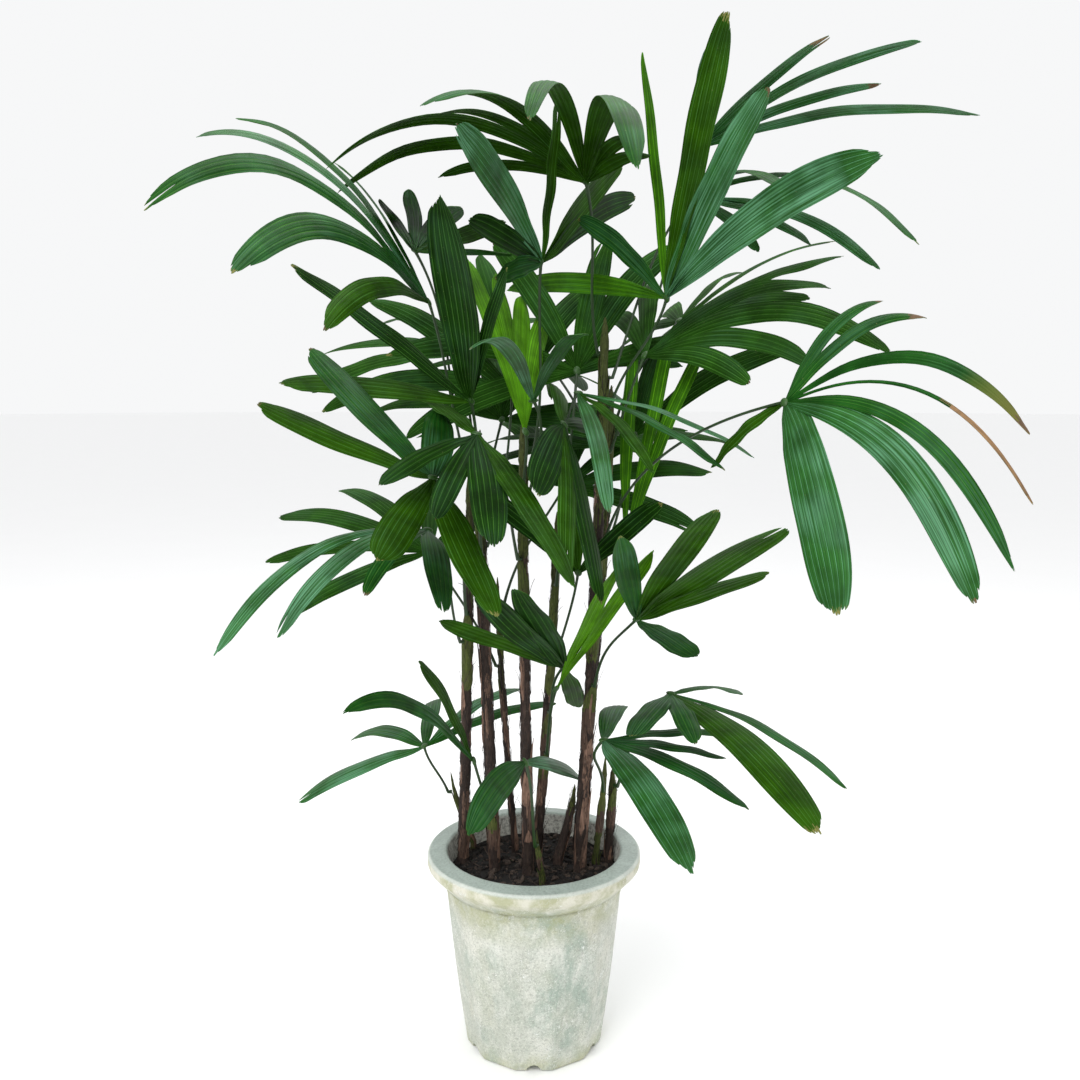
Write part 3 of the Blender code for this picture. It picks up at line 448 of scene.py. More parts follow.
# Width of leaflets that are folded or joined along their length, by frond, or by frond and leaflet
WIDTHS = {
    "Frond_Young": 1.40, "Spear_Middle": 1.50, "Spear_Right": 1.45, "Frond_Far_Right_High": 0.68,
    "Frond_Far_Right": 0.78, "Frond_Centre_Thin": 0.80,
    ("Frond_Right_Hanging", 2): 0.60, ("Frond_Right_Hanging", 3): 0.32,
    ("Frond_Right_Hanging", 4): 0.80, ("Frond_Right_Hanging", 6): 0.75,
    ("Frond_Left_High", 1): 0.75, ("Frond_Left_High", 4): 0.80, ("Frond_Left_Broad", 3): 0.45,
    ("Frond_Centre_Curled", 0): 0.72, ("Frond_Centre_Curled", 3): 0.72,
}

# How soon a leaflet widens from its root: a smaller power is sooner
ROOT_POWER = 0.66
NEW_ROOT_POWER = 1.15
NEW_WIDER = 0.16
BROAD_ROOTS = {("Frond_Right_Hanging", 0): 0.30, ("Frond_Low_Front", 0): 0.50}


def hue(name, description, *default):
    """A setting that is a colour."""
    return FloatVectorProperty(
        name=name, description=description, default=default, size=3, min=0.0, max=1.0,
        subtype="COLOR")


def span(name, description, default, most, least=0.0):
    """A setting that is a small length."""
    return FloatProperty(
        name=name, description=description, default=default, min=least, max=most, unit="LENGTH",
        precision=5)


def glow(name, description, default, most, kind="NONE"):
    """A setting for a light."""
    return FloatProperty(
        name=name, description=description, default=default, min=0.0, max=most, unit=kind)


class PotSettings(bpy.types.PropertyGroup):
    """Sizes and colours of the pot."""

    wobble: span("Wobble", "How far the hand-finished wall strays from true", 0.00035, 0.002)
    glaze: hue("Glaze", "Grey-green colour of the body", 0.46, 0.485, 0.415)
    stain: hue("Stain", "Cooler green where the wall stays damp", 0.28, 0.37, 0.31)
    chalk: hue("Chalk", "Whitish patches where lime has dried on the wall", 0.72, 0.72, 0.66)
    algae: hue("Algae", "Yellow-green film under the collar and at the foot", 0.33, 0.34, 0.15)
    rim: hue("Rim", "Smoother mint grey of the rim", 0.37, 0.44, 0.40)


class SoilSettings(bpy.types.PropertyGroup):
    """Sizes and colours of the potting soil."""

    rough: span("Unevenness", "Height of the soil's humps", 0.0035, 0.01)
    chips: IntProperty(
        name="Chips", description="Number of bark chips that lie on the soil", default=1100,
        min=0, max=4000)
    humus: hue("Humus", "Colour of the fine soil", 0.006, 0.0042, 0.0035)
    chip: hue("Chip", "Colour of the paler bark chips", 0.085, 0.058, 0.044)


class CaneSettings(bpy.types.PropertyGroup):
    """Sizes and colours of the canes, their old sheaths and their fibres."""

    fibres: IntProperty(
        name="Fibres", description="Black fibres wound round each full-grown cane",
        default=150, min=0, max=400)
    sheath: span(
        "Sheath thickness", "How far an old sheath stands proud of the cane", 0.0006, 0.002)
    bark: hue("Bark", "Dark brown of the fibrous cane", 0.034, 0.021, 0.016)
    old_sheath: hue("Old sheath", "Tan of the dried sheaths", 0.23, 0.135, 0.095)
    green_sheath: hue("Green sheath", "Olive of the living sheaths and shoots", 0.075, 0.095, 0.018)


class LeafSettings(bpy.types.PropertyGroup):
    """Sizes and colours of stalks and leaflets."""

    thickness: span("Blade thickness", "Thickness of a leaflet's blade", 0.00045, 0.002, 0.0002)
    twist: FloatProperty(
        name="Twist", description="Most that a leaflet turns about its middle line",
        default=math.radians(16.0), min=0.0, max=math.radians(60.0), subtype="ANGLE")
    # The deep green, dealt to the fronds inside the crown, is partly painted shade there as well as
    # a darker green
    deep: hue("Deep green", "The darkest full-grown leaflets", 0.006, 0.030, 0.0015)
    middle: hue("Middle green", "Most full-grown leaflets", 0.010, 0.066, 0.007)
    olive: hue("Olive green", "Full-grown leaflets of a yellower green", 0.018, 0.064, 0.0010)
    gloss: hue("Glossy green", "Bluish leaflets that catch the light", 0.020, 0.092, 0.016)
    # The fresh green is brighter: partly the leaflets' own fresher green and partly a painted glow
    # of light coming through them
    fresh: hue("Fresh green", "Leaflets that the light comes through", 0.036, 0.135, 0.004)
    young: hue("Young green", "Unfolding leaflets and spears", 0.070, 0.215, 0.006)
    # The underside green is a little darker than the middle green, partly painted shade under the
    # leaflets
    under: hue("Underside", "The leaflets' matt underside", 0.014, 0.056, 0.004)
    rib: hue("Rib", "The fine raised ribs", 0.042, 0.128, 0.018)
    dry: hue("Dry tip", "Dried ends of old leaflets", 0.230, 0.130, 0.055)


class StageSettings(bpy.types.PropertyGroup):
    """The floor and the lights."""

    floor: hue("Floor", "Colour of the floor", 0.965, 0.965, 0.965)
    sky: glow("Sky", "Strength of the even light from all round", 0.94, 4.0)
    key: glow("Key light", "Power of the large light over the front", 70.0, 1000.0, "POWER")
    top: glow("Top light", "Power of the light overhead", 40.0, 1000.0, "POWER")


class Wire:
    """The output of a shader node. Sums written with it add their Math nodes."""

    def __init__(self, finish, socket):
        self.finish = finish
        self.socket = socket

    def reckon(self, operation, *terms, clamp=False):
        """A Math node over some terms."""
        settings = {"operation": operation, "use_clamp": clamp}
        return self.finish.node("ShaderNodeMath", settings, dict(enumerate(terms)))

    def __add__(self, other):
        return self.reckon("ADD", self, other)

    def __radd__(self, other):
        return self.reckon("ADD", other, self)

    def __sub__(self, other):
        return self.reckon("SUBTRACT", self, other)

    def __rsub__(self, other):
        return self.reckon("SUBTRACT", other, self)

    def __mul__(self, other):
        return self.reckon("MULTIPLY", self, other)

    def __rmul__(self, other):
        return self.reckon("MULTIPLY", other, self)

    def between(self, low, high):
        """0 at one value and 1 at the other, with an even climb."""
        return self.reckon("MULTIPLY", self - low, 1.0 / (high - low), clamp=True)


class Finish:
    """A material under way: its node tree and the coordinates of the surface."""

    def __init__(self, name):
        self.material = bpy.data.materials.new(name)
        self.material.use_nodes = True
        self.tree = self.material.node_tree
        self.shader = self.tree.nodes["Principled BSDF"]

    def feed(self, socket, value):
        """Link a wire to a socket, or set the socket's own value."""
        if isinstance(value, Wire):
            self.tree.links.new(value.socket, socket)
        elif socket.type == "RGBA":
            socket.default_value = (*value, 1.0)
        else:
            socket.default_value = value

    def node(self, kind, settings, sockets, output=0):
        """Add a node: its settings first, then the values or links of its sockets."""
        made = self.tree.nodes.new(kind)
        for name, value in settings.items():
            setattr(made, name, value)
        for name, value in sockets.items():
            self.feed(made.inputs[name], value)
        return Wire(self, made.outputs[output])

    def place(self, kind="Object", stretch=None):
        """Coordinates on the surface, stretched by a factor each way where one is given."""
        place = self.node("ShaderNodeTexCoord", {}, {}, kind)
        if stretch is None:
            return place
        return self.node("ShaderNodeVectorMath", {"operation": "MULTIPLY"}, {0: place, 1: stretch})

    def upright(self, factor):
        """Coordinates whose pattern is drawn out upwards: the smaller the factor, the more."""
        return self.place(stretch=(1.0, 1.0, factor))

    def part(self, place, axis):
        """One of the three numbers of a place."""
        return self.node("ShaderNodeSeparateXYZ", {}, {0: place}, axis)

    def noise(self, place, scale, detail=3.0, roughness=0.55, distortion=0.0):
        """Cloudy noise from 0 to 1."""
        return self.node("ShaderNodeTexNoise", {}, {
            "Vector": place, "Scale": scale, "Detail": detail, "Roughness": roughness,
            "Distortion": distortion,
        })

    def cells(self, place, scale):
        """Distance from the middle of the nearest of many scattered cells."""
        return self.node("ShaderNodeTexVoronoi", {}, {"Vector": place, "Scale": scale}, "Distance")

    def mix(self, first, second, share):
        """One colour turning into another."""
        return self.node("ShaderNodeMix", {"data_type": "RGBA"}, {0: share, 6: first, 7: second}, 2)

    def layers(self, tint, *coats):
        """A tint with coats laid over it in turn, each a colour and the share that it covers."""
        for coat, share in coats:
            tint = self.mix(tint, coat, share)
        return tint

    def bump(self, height, distance, strength=1.0):
        """A relief of a height in metres, from a wire from 0 to 1."""
        return self.node("ShaderNodeBump", {}, {
            "Height": height, "Distance": distance, "Strength": strength,
        })

    def surface(self, **sockets):
        """Set the shader's sockets by their names, with _ for a space."""
        for name, value in sockets.items():
            self.feed(self.shader.inputs[name.replace("_", " ")], value)
        return self.material


def shaded(colour, factor):
    """A colour made lighter or darker."""
    return tuple(min(1.0, channel * factor) for channel in colour)


def blended(first, second, share):
    """A colour between two others."""
    return tuple(a + (b - a) * share for a, b in zip(first, second))


def leaf_finish(name, colour, roughness, coat, sheen, aged=None):
    """A leaflet's skin: clouds of green, fine veins, pale streaks, a painted sheen, and an aged end
    where asked.
    """
    made = Finish(name)
    cloud = made.noise(made.place(), 24.0, 3.0)
    wash = made.noise(made.place(), 11.0, 2.0)
    fleck = made.noise(made.place(), 420.0, 2.0)
    streak = made.noise(made.place("UV", (420.0, 6.0, 1.0)), 1.0, 2.0)
    across, along = (made.part(made.place("UV"), axis) for axis in (0, 1))
    vein = across.reckon("SINE", across * (math.tau / VEIN_PITCH)) * 0.5 + 0.5
    # Painted sheen: a pale bluish green laid over streaky patches in place of light reflected off
    # the leaflet, as strong as the sheen asks
    pale = blended(colour, SHEEN_COLOUR, 0.55)
    tint = made.layers(
        made.mix(shaded(colour, 0.58), shaded(colour, 1.42), cloud.between(0.34, 0.66)),
        (shaded(colour, 1.6), streak.between(0.50, 0.72) * 0.55),
        (pale, streak.between(0.38, 0.62) * wash.between(0.44, 0.60) * sheen),
        (shaded(colour, 0.50), vein * vein * 0.55),
        (blended(colour, (0.45, 0.42, 0.20), 0.45), fleck.between(0.70, 0.78) * 0.5),
    )
    if aged is not None:
        ageing = (along + streak * 0.05 + cloud * 0.05).between(0.26, 0.36)
        tint = made.mix(tint, aged, ageing * 0.85)
    return made.surface(
        Base_Color=tint,
        Roughness=roughness + 0.14 * cloud + 0.08 * streak,
        Normal=made.bump(vein * 0.6 + streak * 0.4, 0.00022, 0.8),
        Coat_Weight=streak.between(0.40, 0.75) * coat, Coat_Roughness=0.28, Coat_IOR=1.3,
        IOR=1.16 + 0.14 * sheen, Specular_IOR_Level=0.25, Specular_Tint=(0.6, 1.0, 0.6),
    )


def dry_finish(name, colour):
    """Dried leaf: brown with paler streaks, matt and papery."""
    made = Finish(name)
    streak = made.noise(made.place("UV", (1200.0, 30.0, 1.0)), 1.0, 3.0)
    cloud = made.noise(made.place(), 60.0, 4.0)
    tint = made.mix(shaded(colour, 0.45), shaded(colour, 1.5), streak.between(0.3, 0.7))
    tint = made.mix(tint, shaded(colour, 0.5), cloud.between(0.5, 0.75))
    return made.surface(
        Base_Color=tint, Roughness=0.75 + 0.15 * cloud, Normal=made.bump(streak, 0.0003))


def bark_finish(name, colour, second, spread):
    """Fibrous bark: upright fibres of two browns, dark pits, and pale flecks of dusty bloom that
    are also painted highlights.
    """
    made = Finish(name)
    fibre = made.noise(made.upright(0.06), 900.0, 4.0, 0.6)
    patch = made.noise(made.upright(0.30), 90.0, 4.0, 0.6, 0.4)
    pits = made.cells(made.upright(0.2), 420.0)
    dust_and_highlight = made.noise(made.place(), 260.0, 4.0)
    tint = made.layers(
        made.mix(shaded(colour, 0.45), shaded(colour, 1.25), fibre.between(0.36, 0.66)),
        (second, patch.between(0.52, 0.70) * spread),
        (shaded(colour, 0.22), pits.between(0.30, 0.12)),
        # Pale flecks: a dusty bloom on the bark and painted highlights as well
        ((0.34, 0.30, 0.25), dust_and_highlight.between(0.60, 0.80) * 0.25),
    )
    return made.surface(
        Base_Color=tint, Roughness=0.72 + 0.22 * dust_and_highlight, Specular_IOR_Level=0.35,
        Normal=made.bump(fibre + patch * 0.6, 0.0009))


def stalk_finish(name, colour):
    """A stalk's smooth green skin with fine lengthwise lines."""
    made = Finish(name)
    cloud = made.noise(made.upright(0.3), 120.0, 3.0)
    tint = made.mix(shaded(colour, 0.65), shaded(colour, 1.35), cloud.between(0.3, 0.7))
    return made.surface(
        Base_Color=tint, Roughness=0.38 + 0.15 * cloud, Normal=made.bump(cloud, 0.0003))


def pot_finish(look):
    """Pale glazed ware: lime-white clouds, green stains, a fine grain, scratches and algae.

    A painted highlight runs along the rim's outer edge, and painted shade with algae lies in the
    crease under the collar. Masks that name a part of the pot go by its height and by the distance
    from its axis.
    """
    made = Finish("Pot_Glaze")
    place = made.place()
    tall = made.upright(0.55)
    height = made.part(place, 2)
    flat = made.upright(0.0)
    reach = made.node("ShaderNodeVectorMath", {"operation": "LENGTH"}, {0: flat}, "Value")
    broad = made.noise(tall, 11.0, 4.0, 0.55)
    patch = made.noise(tall, 31.0, 6.0, 0.66, 0.3)
    grain = made.noise(place, 300.0, 4.0, 0.75)
    speckle = made.noise(place, 560.0, 3.0, 0.7)
    cloud = made.noise(made.upright(0.7), 70.0, 6.0, 0.7, 0.4)
    warm = made.noise(tall, 19.0, 3.0).between(0.50, 0.66)
    stain = made.noise(place, 34.0, 6.0, 0.7).between(0.42, 0.60)
    under = height.between(0.190, 0.236) * height.between(0.262, 0.246)
    low = height.between(0.034, 0.0)
    # Painted shade with algae: a dark line in the crease where the collar meets the body
    crease_shade = height.between(0.2375, 0.2420) * height.between(0.2510, 0.2455)
    crease_shade = crease_shade * reach.between(0.132, 0.128)
    band = height.between(0.246, 0.262) * height.between(0.280, 0.276)
    cream = made.mix(blended(look.chalk, (0.60, 0.56, 0.42), 0.55), look.algae, stain * 0.75)
    lid = height.between(0.2775, 0.2800)
    rim = made.layers(
        look.rim,
        (shaded(look.rim, 1.16), patch.between(0.40, 0.62)),
        (shaded(look.rim, 0.60), grain.between(0.46, 0.66) * 0.65),
        (shaded(look.chalk, 1.05), speckle.between(0.60, 0.74) * 0.40),
    )
    # The rim's outer edge, where a highlight is painted
    edge = reach.between(0.1458, 0.1478) * height.between(0.2770, 0.2800)
    line = made.noise(place, 85.0, 2.0, 0.5, 1.6)
    scratch = line.between(0.482, 0.497) * line.between(0.518, 0.503)
    scratch = scratch * made.noise(place, 26.0, 2.0).between(0.54, 0.60) * (1 - lid)
    pit = made.cells(place, 330.0).between(0.16, 0.08)
    pit = pit * made.noise(place, 60.0, 2.0).between(0.50, 0.58)
    inside = reach.between(0.1232, 0.1212) * height.between(0.236, 0.246)
    splash = made.noise(place, 210.0, 6.0, 0.75).between(0.44, 0.60)
    tint = made.layers(
        look.glaze,
        (blended(look.glaze, look.stain, 0.75), broad.between(0.44, 0.60)),
        (blended(look.glaze, (0.62, 0.58, 0.46), 0.6), warm * 0.55),
        (look.chalk, patch.between(0.44, 0.66) * 0.72),
        (look.chalk, cloud.between(0.52, 0.70) * 0.60),
        (shaded(look.glaze, 0.50), grain.between(0.48, 0.66) * 0.60),
        (shaded(look.chalk, 1.22), speckle.between(0.54, 0.70) * 0.60),
        (look.algae, under * 0.70 * (0.25 + 0.75 * stain)),
        (shaded(look.algae, 1.15), low * 0.60 * (0.2 + 0.8 * stain)),
        # Painted shade in the crease under the collar, darker where the algae stains
        (shaded(look.algae, 0.38), crease_shade * (0.25 + 0.55 * stain)),
        (cream, band * reach.between(0.134, 0.142) * 0.85),
        (rim, lid * 0.92),
        # Painted highlight: a lighter chalky line along the rim's outer edge, broken up by the
        # patches
        (shaded(look.chalk, 1.18), edge * (0.12 + 0.60 * patch)),
        ((0.86, 0.88, 0.84), scratch * 0.85),
        ((0.16, 0.15, 0.09), pit * 0.55),
        (made.mix((0.66, 0.66, 0.60), (0.055, 0.042, 0.032), splash * 0.72), inside * 0.92),
    )
    return made.surface(
        Base_Color=tint,
        Roughness=0.50 + 0.22 * cloud - 0.14 * lid,
        Normal=made.bump(cloud * 0.4 + grain * 0.35 + scratch * 0.5, 0.0006),
        Coat_Weight=0.10, Coat_Roughness=0.35,
    )


def soil_finish(name, colour, second):
    """Crumbly soil of two browns."""
    made = Finish(name)
    crumb = made.noise(made.place(), 420.0, 6.0, 0.7)
    patch = made.noise(made.place(), 60.0, 3.0)
    tint = made.mix(shaded(colour, 0.5), shaded(colour, 1.7), crumb.between(0.35, 0.65))
    tint = made.mix(tint, second, patch.between(0.55, 0.72) * 0.5)
    return made.surface(
        Base_Color=tint, Roughness=0.82 + 0.15 * crumb, Normal=made.bump(crumb, 0.0015))


def fibre_finish(name, colour):
    """Wiry black-brown plant fibre."""
    made = Finish(name)
    grain = made.noise(made.place(), 300.0, 2.0)
    tint = made.mix(shaded(colour, 0.6), shaded(colour, 1.8), grain)
    return made.surface(Base_Color=tint, Roughness=0.6 + 0.2 * grain)


def floor_finish(colour):
    """A plain pale floor."""
    made = Finish("Pale_Floor")
    grain = made.noise(made.place(), 3.0, 2.0)
    tint = made.mix(shaded(colour, 0.985), colour, grain)
    return made.surface(Base_Color=tint, Roughness=0.9, Specular_IOR_Level=0.1)


def around(radius, angle):
    """Both flat coordinates of a point at a radius and an angle round a middle."""
    return radius * math.cos(angle), radius * math.sin(angle)


def arc(centre, radius, start, end, steps):
    """Points of an arc in the (radius, height) plane, from one angle to another in degrees."""
    points = []
    for i in range(steps + 1):
        across, up = around(radius, math.radians(start + (end - start) * i / steps))
        points.append((centre[0] + across, centre[1] + up))
    return points


def inner_radius(height):
    """Radius of the pot's inside at a height, from the floor to the top of the body."""
    share = (height - FLOOR_THICKNESS) / (BODY_TOP_HEIGHT - FLOOR_THICKNESS)
    return FLOOR_INNER_RADIUS + (WALL_TOP_INNER_RADIUS - FLOOR_INNER_RADIUS) * share


def facet_share(angle, height):
    """How far the body's flats pull its round wall in: most at the foot, nothing under the rim."""
    step = math.tau / FACETS
    offset = (angle + math.pi / 2) % step
    offset = min(offset, step - offset)
    flat = math.cos(step / 2) / math.cos(offset)
    fade = max(0.0, min(1.0, FACET_FADE * (1.0 - height / BODY_TOP_HEIGHT)))
    return 1.0 + (flat - 1.0) * fade


def cane_joint(cane, index):
    """One of the points that a cane runs through: it leans above the foot, then straightens."""
    foot = Vector((*cane.foot, SOIL_HEIGHT + GAP + FLARE_HEIGHT))
    share = index / (CANE_POINTS - 1)
    flat = foot.lerp(Vector(cane.tip), 1.0 - (1.0 - share) ** CANE_BEND)
    return Vector((flat.x, flat.y, foot.z + (cane.tip[2] - foot.z) * share))


def cane_point(cane, height):
    """The cane's middle at a height, on the straight runs between its points."""
    low = SOIL_HEIGHT + GAP + FLARE_HEIGHT
    place = (CANE_POINTS - 1) * (height - low) / (cane.tip[2] - low)
    place = max(0.0, min(CANE_POINTS - 1.0, place))
    index = min(int(place), CANE_POINTS - 2)
    return cane_joint(cane, index).lerp(cane_joint(cane, index + 1), place - index)


def cane_radius(cane, height):
    """The cane's radius at a height: nearly even, with its taper towards the tip."""
    share = (height - SOIL_HEIGHT) / (cane.tip[2] - SOIL_HEIGHT)
    return cane.radius * (1.0 - CANE_TAPER * max(0.0, share) ** 2)


def blade_frame(frond):
    """The blade's middle line, its right-hand side and its upper normal."""
    heading, rise, roll = (math.radians(angle) for angle in (frond.heading, frond.rise, frond.roll))
    line = Vector((*around(math.cos(rise), heading), math.sin(rise)))
    level = Vector((math.sin(heading), -math.cos(heading), 0.0))
    side = math.cos(roll) * level + math.sin(roll) * level.cross(line)
    return line, side, side.cross(line)


def stalk_path(frond):
    """The stalk's middle: straight out of the cane, then up in an easy bend to the hub."""
    cane = CANE_OF[frond.cane]
    root = cane_point(cane, frond.sheath)
    hub = Vector(frond.hub)
    out = Vector((hub.x - root.x, hub.y - root.y, 0.0)).normalized()
    above = cane_point(cane, frond.sheath + STALK_RADIUS)
    lean = abs((above - root).dot(out))
    start = root + out * (CANE_SEAT * cane_radius(cane, frond.sheath) + lean + GAP)
    elbow = start + out * STALK_SPUR
    reach = (hub - elbow).length
    along = (hub - elbow).normalized()
    aside = along.cross(UP) * STALK_BENDS.get(frond.name, 0.0)
    upward = (out * STALK_LEAN + UP).normalized()
    inward = (blade_frame(frond)[0] + along * STALK_SWING).normalized()
    first = elbow + upward * reach * STALK_FIRST_PULL + aside
    last = hub - inward * reach * STALK_LAST_PULL + aside
    points = [start]
    for t in np.linspace(0.0, 1.0, STALK_ROWS).tolist():
        s = 1.0 - t
        points.append(elbow * s ** 3 + first * 3 * s * s * t + last * 3 * s * t * t + hub * t ** 3)
    return points


def leaflet_path(hub, axes, turn, length, droop):
    """Middle points and side directions of a leaflet that sets out from the hub and bends down."""
    line, side, normal = axes
    across, aside = around(1.0, math.radians(turn))
    start = across * line + aside * side
    edge = normal.cross(start)
    pull = droop * length / DROOP_LENGTH
    point = Vector(hub)
    points = [point]
    edges = [edge]
    for i in range(FINE_STEPS):
        share = (i + 0.5) / FINE_STEPS
        heading = (start + Vector((0.0, 0.0, -pull * share ** 1.5))).normalized()
        point = point + heading * (length / FINE_STEPS)
        points.append(point)
        edges.append((edge - heading * edge.dot(heading)).normalized())
    return np.array(points), np.array(edges)


def back_fronds():
    """Fronds of the far side, dealt out round it by a seeded rule."""
    draw = random.Random(BACK_SEED)
    made = []
    for i in range(BACK_FRONDS):
        cane = CANE_OF[BACK_CANES[i % len(BACK_CANES)]]
        azimuth = BACK_FROM + BACK_SPAN * ((i * BACK_STRIDE) % BACK_FRONDS + 0.5) / BACK_FRONDS
        sheath = cane.tip[2] - BACK_SHEATH_DROP - BACK_SHEATH_STEP * (i // len(BACK_CANES))
        root = cane_point(cane, sheath)
        x, y = around(BACK_REACH[0] + BACK_REACH[1] * draw.random(), math.radians(azimuth))
        hub = (root.x + x, root.y + y, sheath + BACK_LIFT[0] + BACK_LIFT[1] * draw.random())
        fan = []
        for leaf in range(BACK_LEAFLETS):
            turn = BACK_HALF_FAN * (2 * leaf / (BACK_LEAFLETS - 1) - 1) + draw.uniform(-4, 4)
            length = (BACK_LENGTH - BACK_SHORTENING * abs(turn)) * draw.uniform(*BACK_SPREAD)
            step, sag = BACK_SHIFTS.get((i + 1, leaf), (0, 0.0))
            leaflet = (turn + step, length, draw.choice((4, 5, 5, 6)), sag)
            fan.append(None if (i + 1, leaf) == BACK_HIDDEN else leaflet)
        made.append(Frond(
            f"Frond_Back_{i + 1}", cane.name, sheath, hub, azimuth, draw.uniform(*BACK_RISE),
            draw.uniform(*BACK_ROLL), draw.uniform(*BACK_DROOP), "", tuple(fan),
        ))
    return tuple(made)


class Bundle:
    """Points, faces, looks and surface places gathered from many small shapes for one mesh."""

    def __init__(self):
        self.points = []
        self.corners = []
        self.sizes = []
        self.looks = []
        self.places = []
        self.total = 0

    def add(self, points, groups, places=None):
        """Take in a shape: its points, and groups of (faces, look) with a look for all or each."""
        points = np.asarray(points, dtype=np.float64)
        for faces, look in groups:
            faces = np.asarray(faces, dtype=np.int64)
            self.corners.append((faces + self.total).ravel())
            self.sizes.append(np.full(len(faces), faces.shape[1]))
            self.looks.append(np.broadcast_to(np.asarray(look), (len(faces),)))
        self.points.append(points)
        self.places.append(np.zeros((len(points), 2)) if places is None else places)
        self.total += len(points)

    def mesh(self, name):
        """One Blender mesh of all that was taken in, and the looks that it uses, in order."""
        mesh = bpy.data.meshes.new(name)
        points = np.concatenate(self.points)
        corners = np.concatenate(self.corners)
        sizes = np.concatenate(self.sizes)
        used, looks = np.unique(np.concatenate(self.looks), return_inverse=True)
        mesh.vertices.add(len(points))
        mesh.vertices.foreach_set("co", points.astype(np.float32).ravel())
        mesh.loops.add(len(corners))
        mesh.loops.foreach_set("vertex_index", corners.astype(np.int32))
        mesh.polygons.add(len(sizes))
        starts = np.concatenate([[0], np.cumsum(sizes)[:-1]])
        mesh.polygons.foreach_set("loop_start", starts.astype(np.int32))
        mesh.polygons.foreach_set("material_index", looks.astype(np.int32).ravel())
        mesh.update(calc_edges=True)
        layer = mesh.uv_layers.new(name="Surface")
        places = np.concatenate(self.places)[corners]
        layer.data.foreach_set("uv", places.astype(np.float32).ravel())
        mesh.validate()
        return mesh, [int(look) for look in used]


def show(name, mesh, materials, replaced, angle=SMOOTH_ANGLE):
    """Put a finished mesh in the scene, riding on the palm's one body."""
    for material in materials:
        mesh.materials.append(material)
    mesh.shade_smooth()
    mesh.set_sharp_from_angle(angle=math.radians(angle))
    made = bpy.data.objects.new(name, mesh)
    bpy.context.scene.collection.objects.link(made)
    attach(made, ROOT)
    if replaced:
        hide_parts(*replaced)


def show_bundle(name, bundle, looks, replaced=(), angle=SMOOTH_ANGLE):
    """Put a bundle in the scene as one piece, with those of the looks that it uses."""
    mesh, used = bundle.mesh(name)
    show(name, mesh, [looks[i] for i in used], replaced, angle)


def grid_faces(rows, columns, closed=False):
    """Four-cornered faces of a grid of points, whose last column may meet its first."""
    low = np.arange(rows - 1)[:, None] * columns
    across = np.arange(columns if closed else columns - 1)[None, :]
    after = (across + 1) % columns
    high = low + columns
    faces = np.stack([low + across, low + after, high + after, high + across], axis=-1)
    return faces.reshape(-1, 4)


def tube_faces(rows, sides):
    """Faces of a closed tube: its wall, and a fan over its start and over its end."""
    start = np.array([[0, i + 1, i] for i in range(1, sides - 1)])
    return grid_faces(rows, sides, True), start, start[:, [0, 2, 1]] + (rows - 1) * sides


def unit(vectors):
    """Vectors of a grid made one long."""
    return vectors / np.linalg.norm(vectors, axis=-1)[..., None]


def carried_frames(path):
    """Two side directions at each point of a path, carried along it so that they don't spin."""
    ahead = unit(np.gradient(path, axis=0))
    side = np.cross(ahead[0], UP)
    if np.linalg.norm(side) < 0.2:
        side = np.cross(ahead[0], (1.0, 0.0, 0.0))
    sides = []
    for direction in ahead:
        side = side - direction * np.dot(side, direction)
        side = side / np.linalg.norm(side)
        sides.append(side)
    return np.array(sides), np.cross(ahead, sides)


def add_tube(bundle, path, radii, sides, look, flat=1.0):
    """A closed tube along a path, flattened one way where wanted."""
    path = np.asarray(path, dtype=np.float64)
    one, other = carried_frames(path)
    angle = np.arange(sides) * math.tau / sides
    ring = one[:, None] * np.cos(angle)[:, None] + flat * other[:, None] * np.sin(angle)[:, None]
    points = path[:, None] + ring * np.asarray(radii)[:, None, None]
    places = np.empty((len(path), sides, 2))
    places[..., 0] = angle * 0.002
    places[..., 1] = np.linspace(0.0, 0.2, len(path))[:, None]
    groups = [(faces, look) for faces in tube_faces(len(path), sides)]
    bundle.add(points.reshape(-1, 3), groups, places.reshape(-1, 2))


def add_sheet(bundle, upper, lower, top_look, under_look, rim_look, places):
    """A closed thin sheet between two grids of points, upper and lower, of rows by columns."""
    rows, columns = upper.shape[:2]
    count = rows * columns
    top = grid_faces(rows, columns)
    grid = np.arange(count).reshape(rows, columns)
    ring = np.concatenate([grid[0, :-1], grid[:-1, -1], grid[-1, :0:-1], grid[:0:-1, 0]])
    after = np.roll(ring, -1)
    rim = np.stack([after, ring, ring + count, after + count], axis=-1)
    points = np.concatenate([upper.reshape(-1, 3), lower.reshape(-1, 3)])
    groups = [(top, top_look), (top[:, ::-1] + count, under_look), (rim, rim_look)]
    bundle.add(points, groups, np.concatenate([places, places]))


def add_turned(bundle, points, sides, first, last):
    """A closed body of rings of points, with a fan of faces round a middle point at either end."""
    middle = len(points)
    ring = np.arange(sides)
    after = np.roll(ring, -1)
    end = middle - sides
    wall = grid_faces(middle // sides, sides, True)[:, ::-1]
    near = np.stack([np.full(sides, middle), ring, after], axis=-1)
    far = np.stack([np.full(sides, middle + 1), end + after, end + ring], axis=-1)
    bundle.add(points + [first, last], [(wall, 0), (near, 0), (far, 0)])


def smooth_profile(points, reach):
    """A profile with points put in so that no two are further apart than the reach."""
    made = [points[0]]
    for point in points[1:]:
        before = made[-1]
        steps = max(1, math.ceil(math.dist(before, point) / reach))
        for i in range(1, steps + 1):
            made.append(blended(before, point, i / steps))
    return made


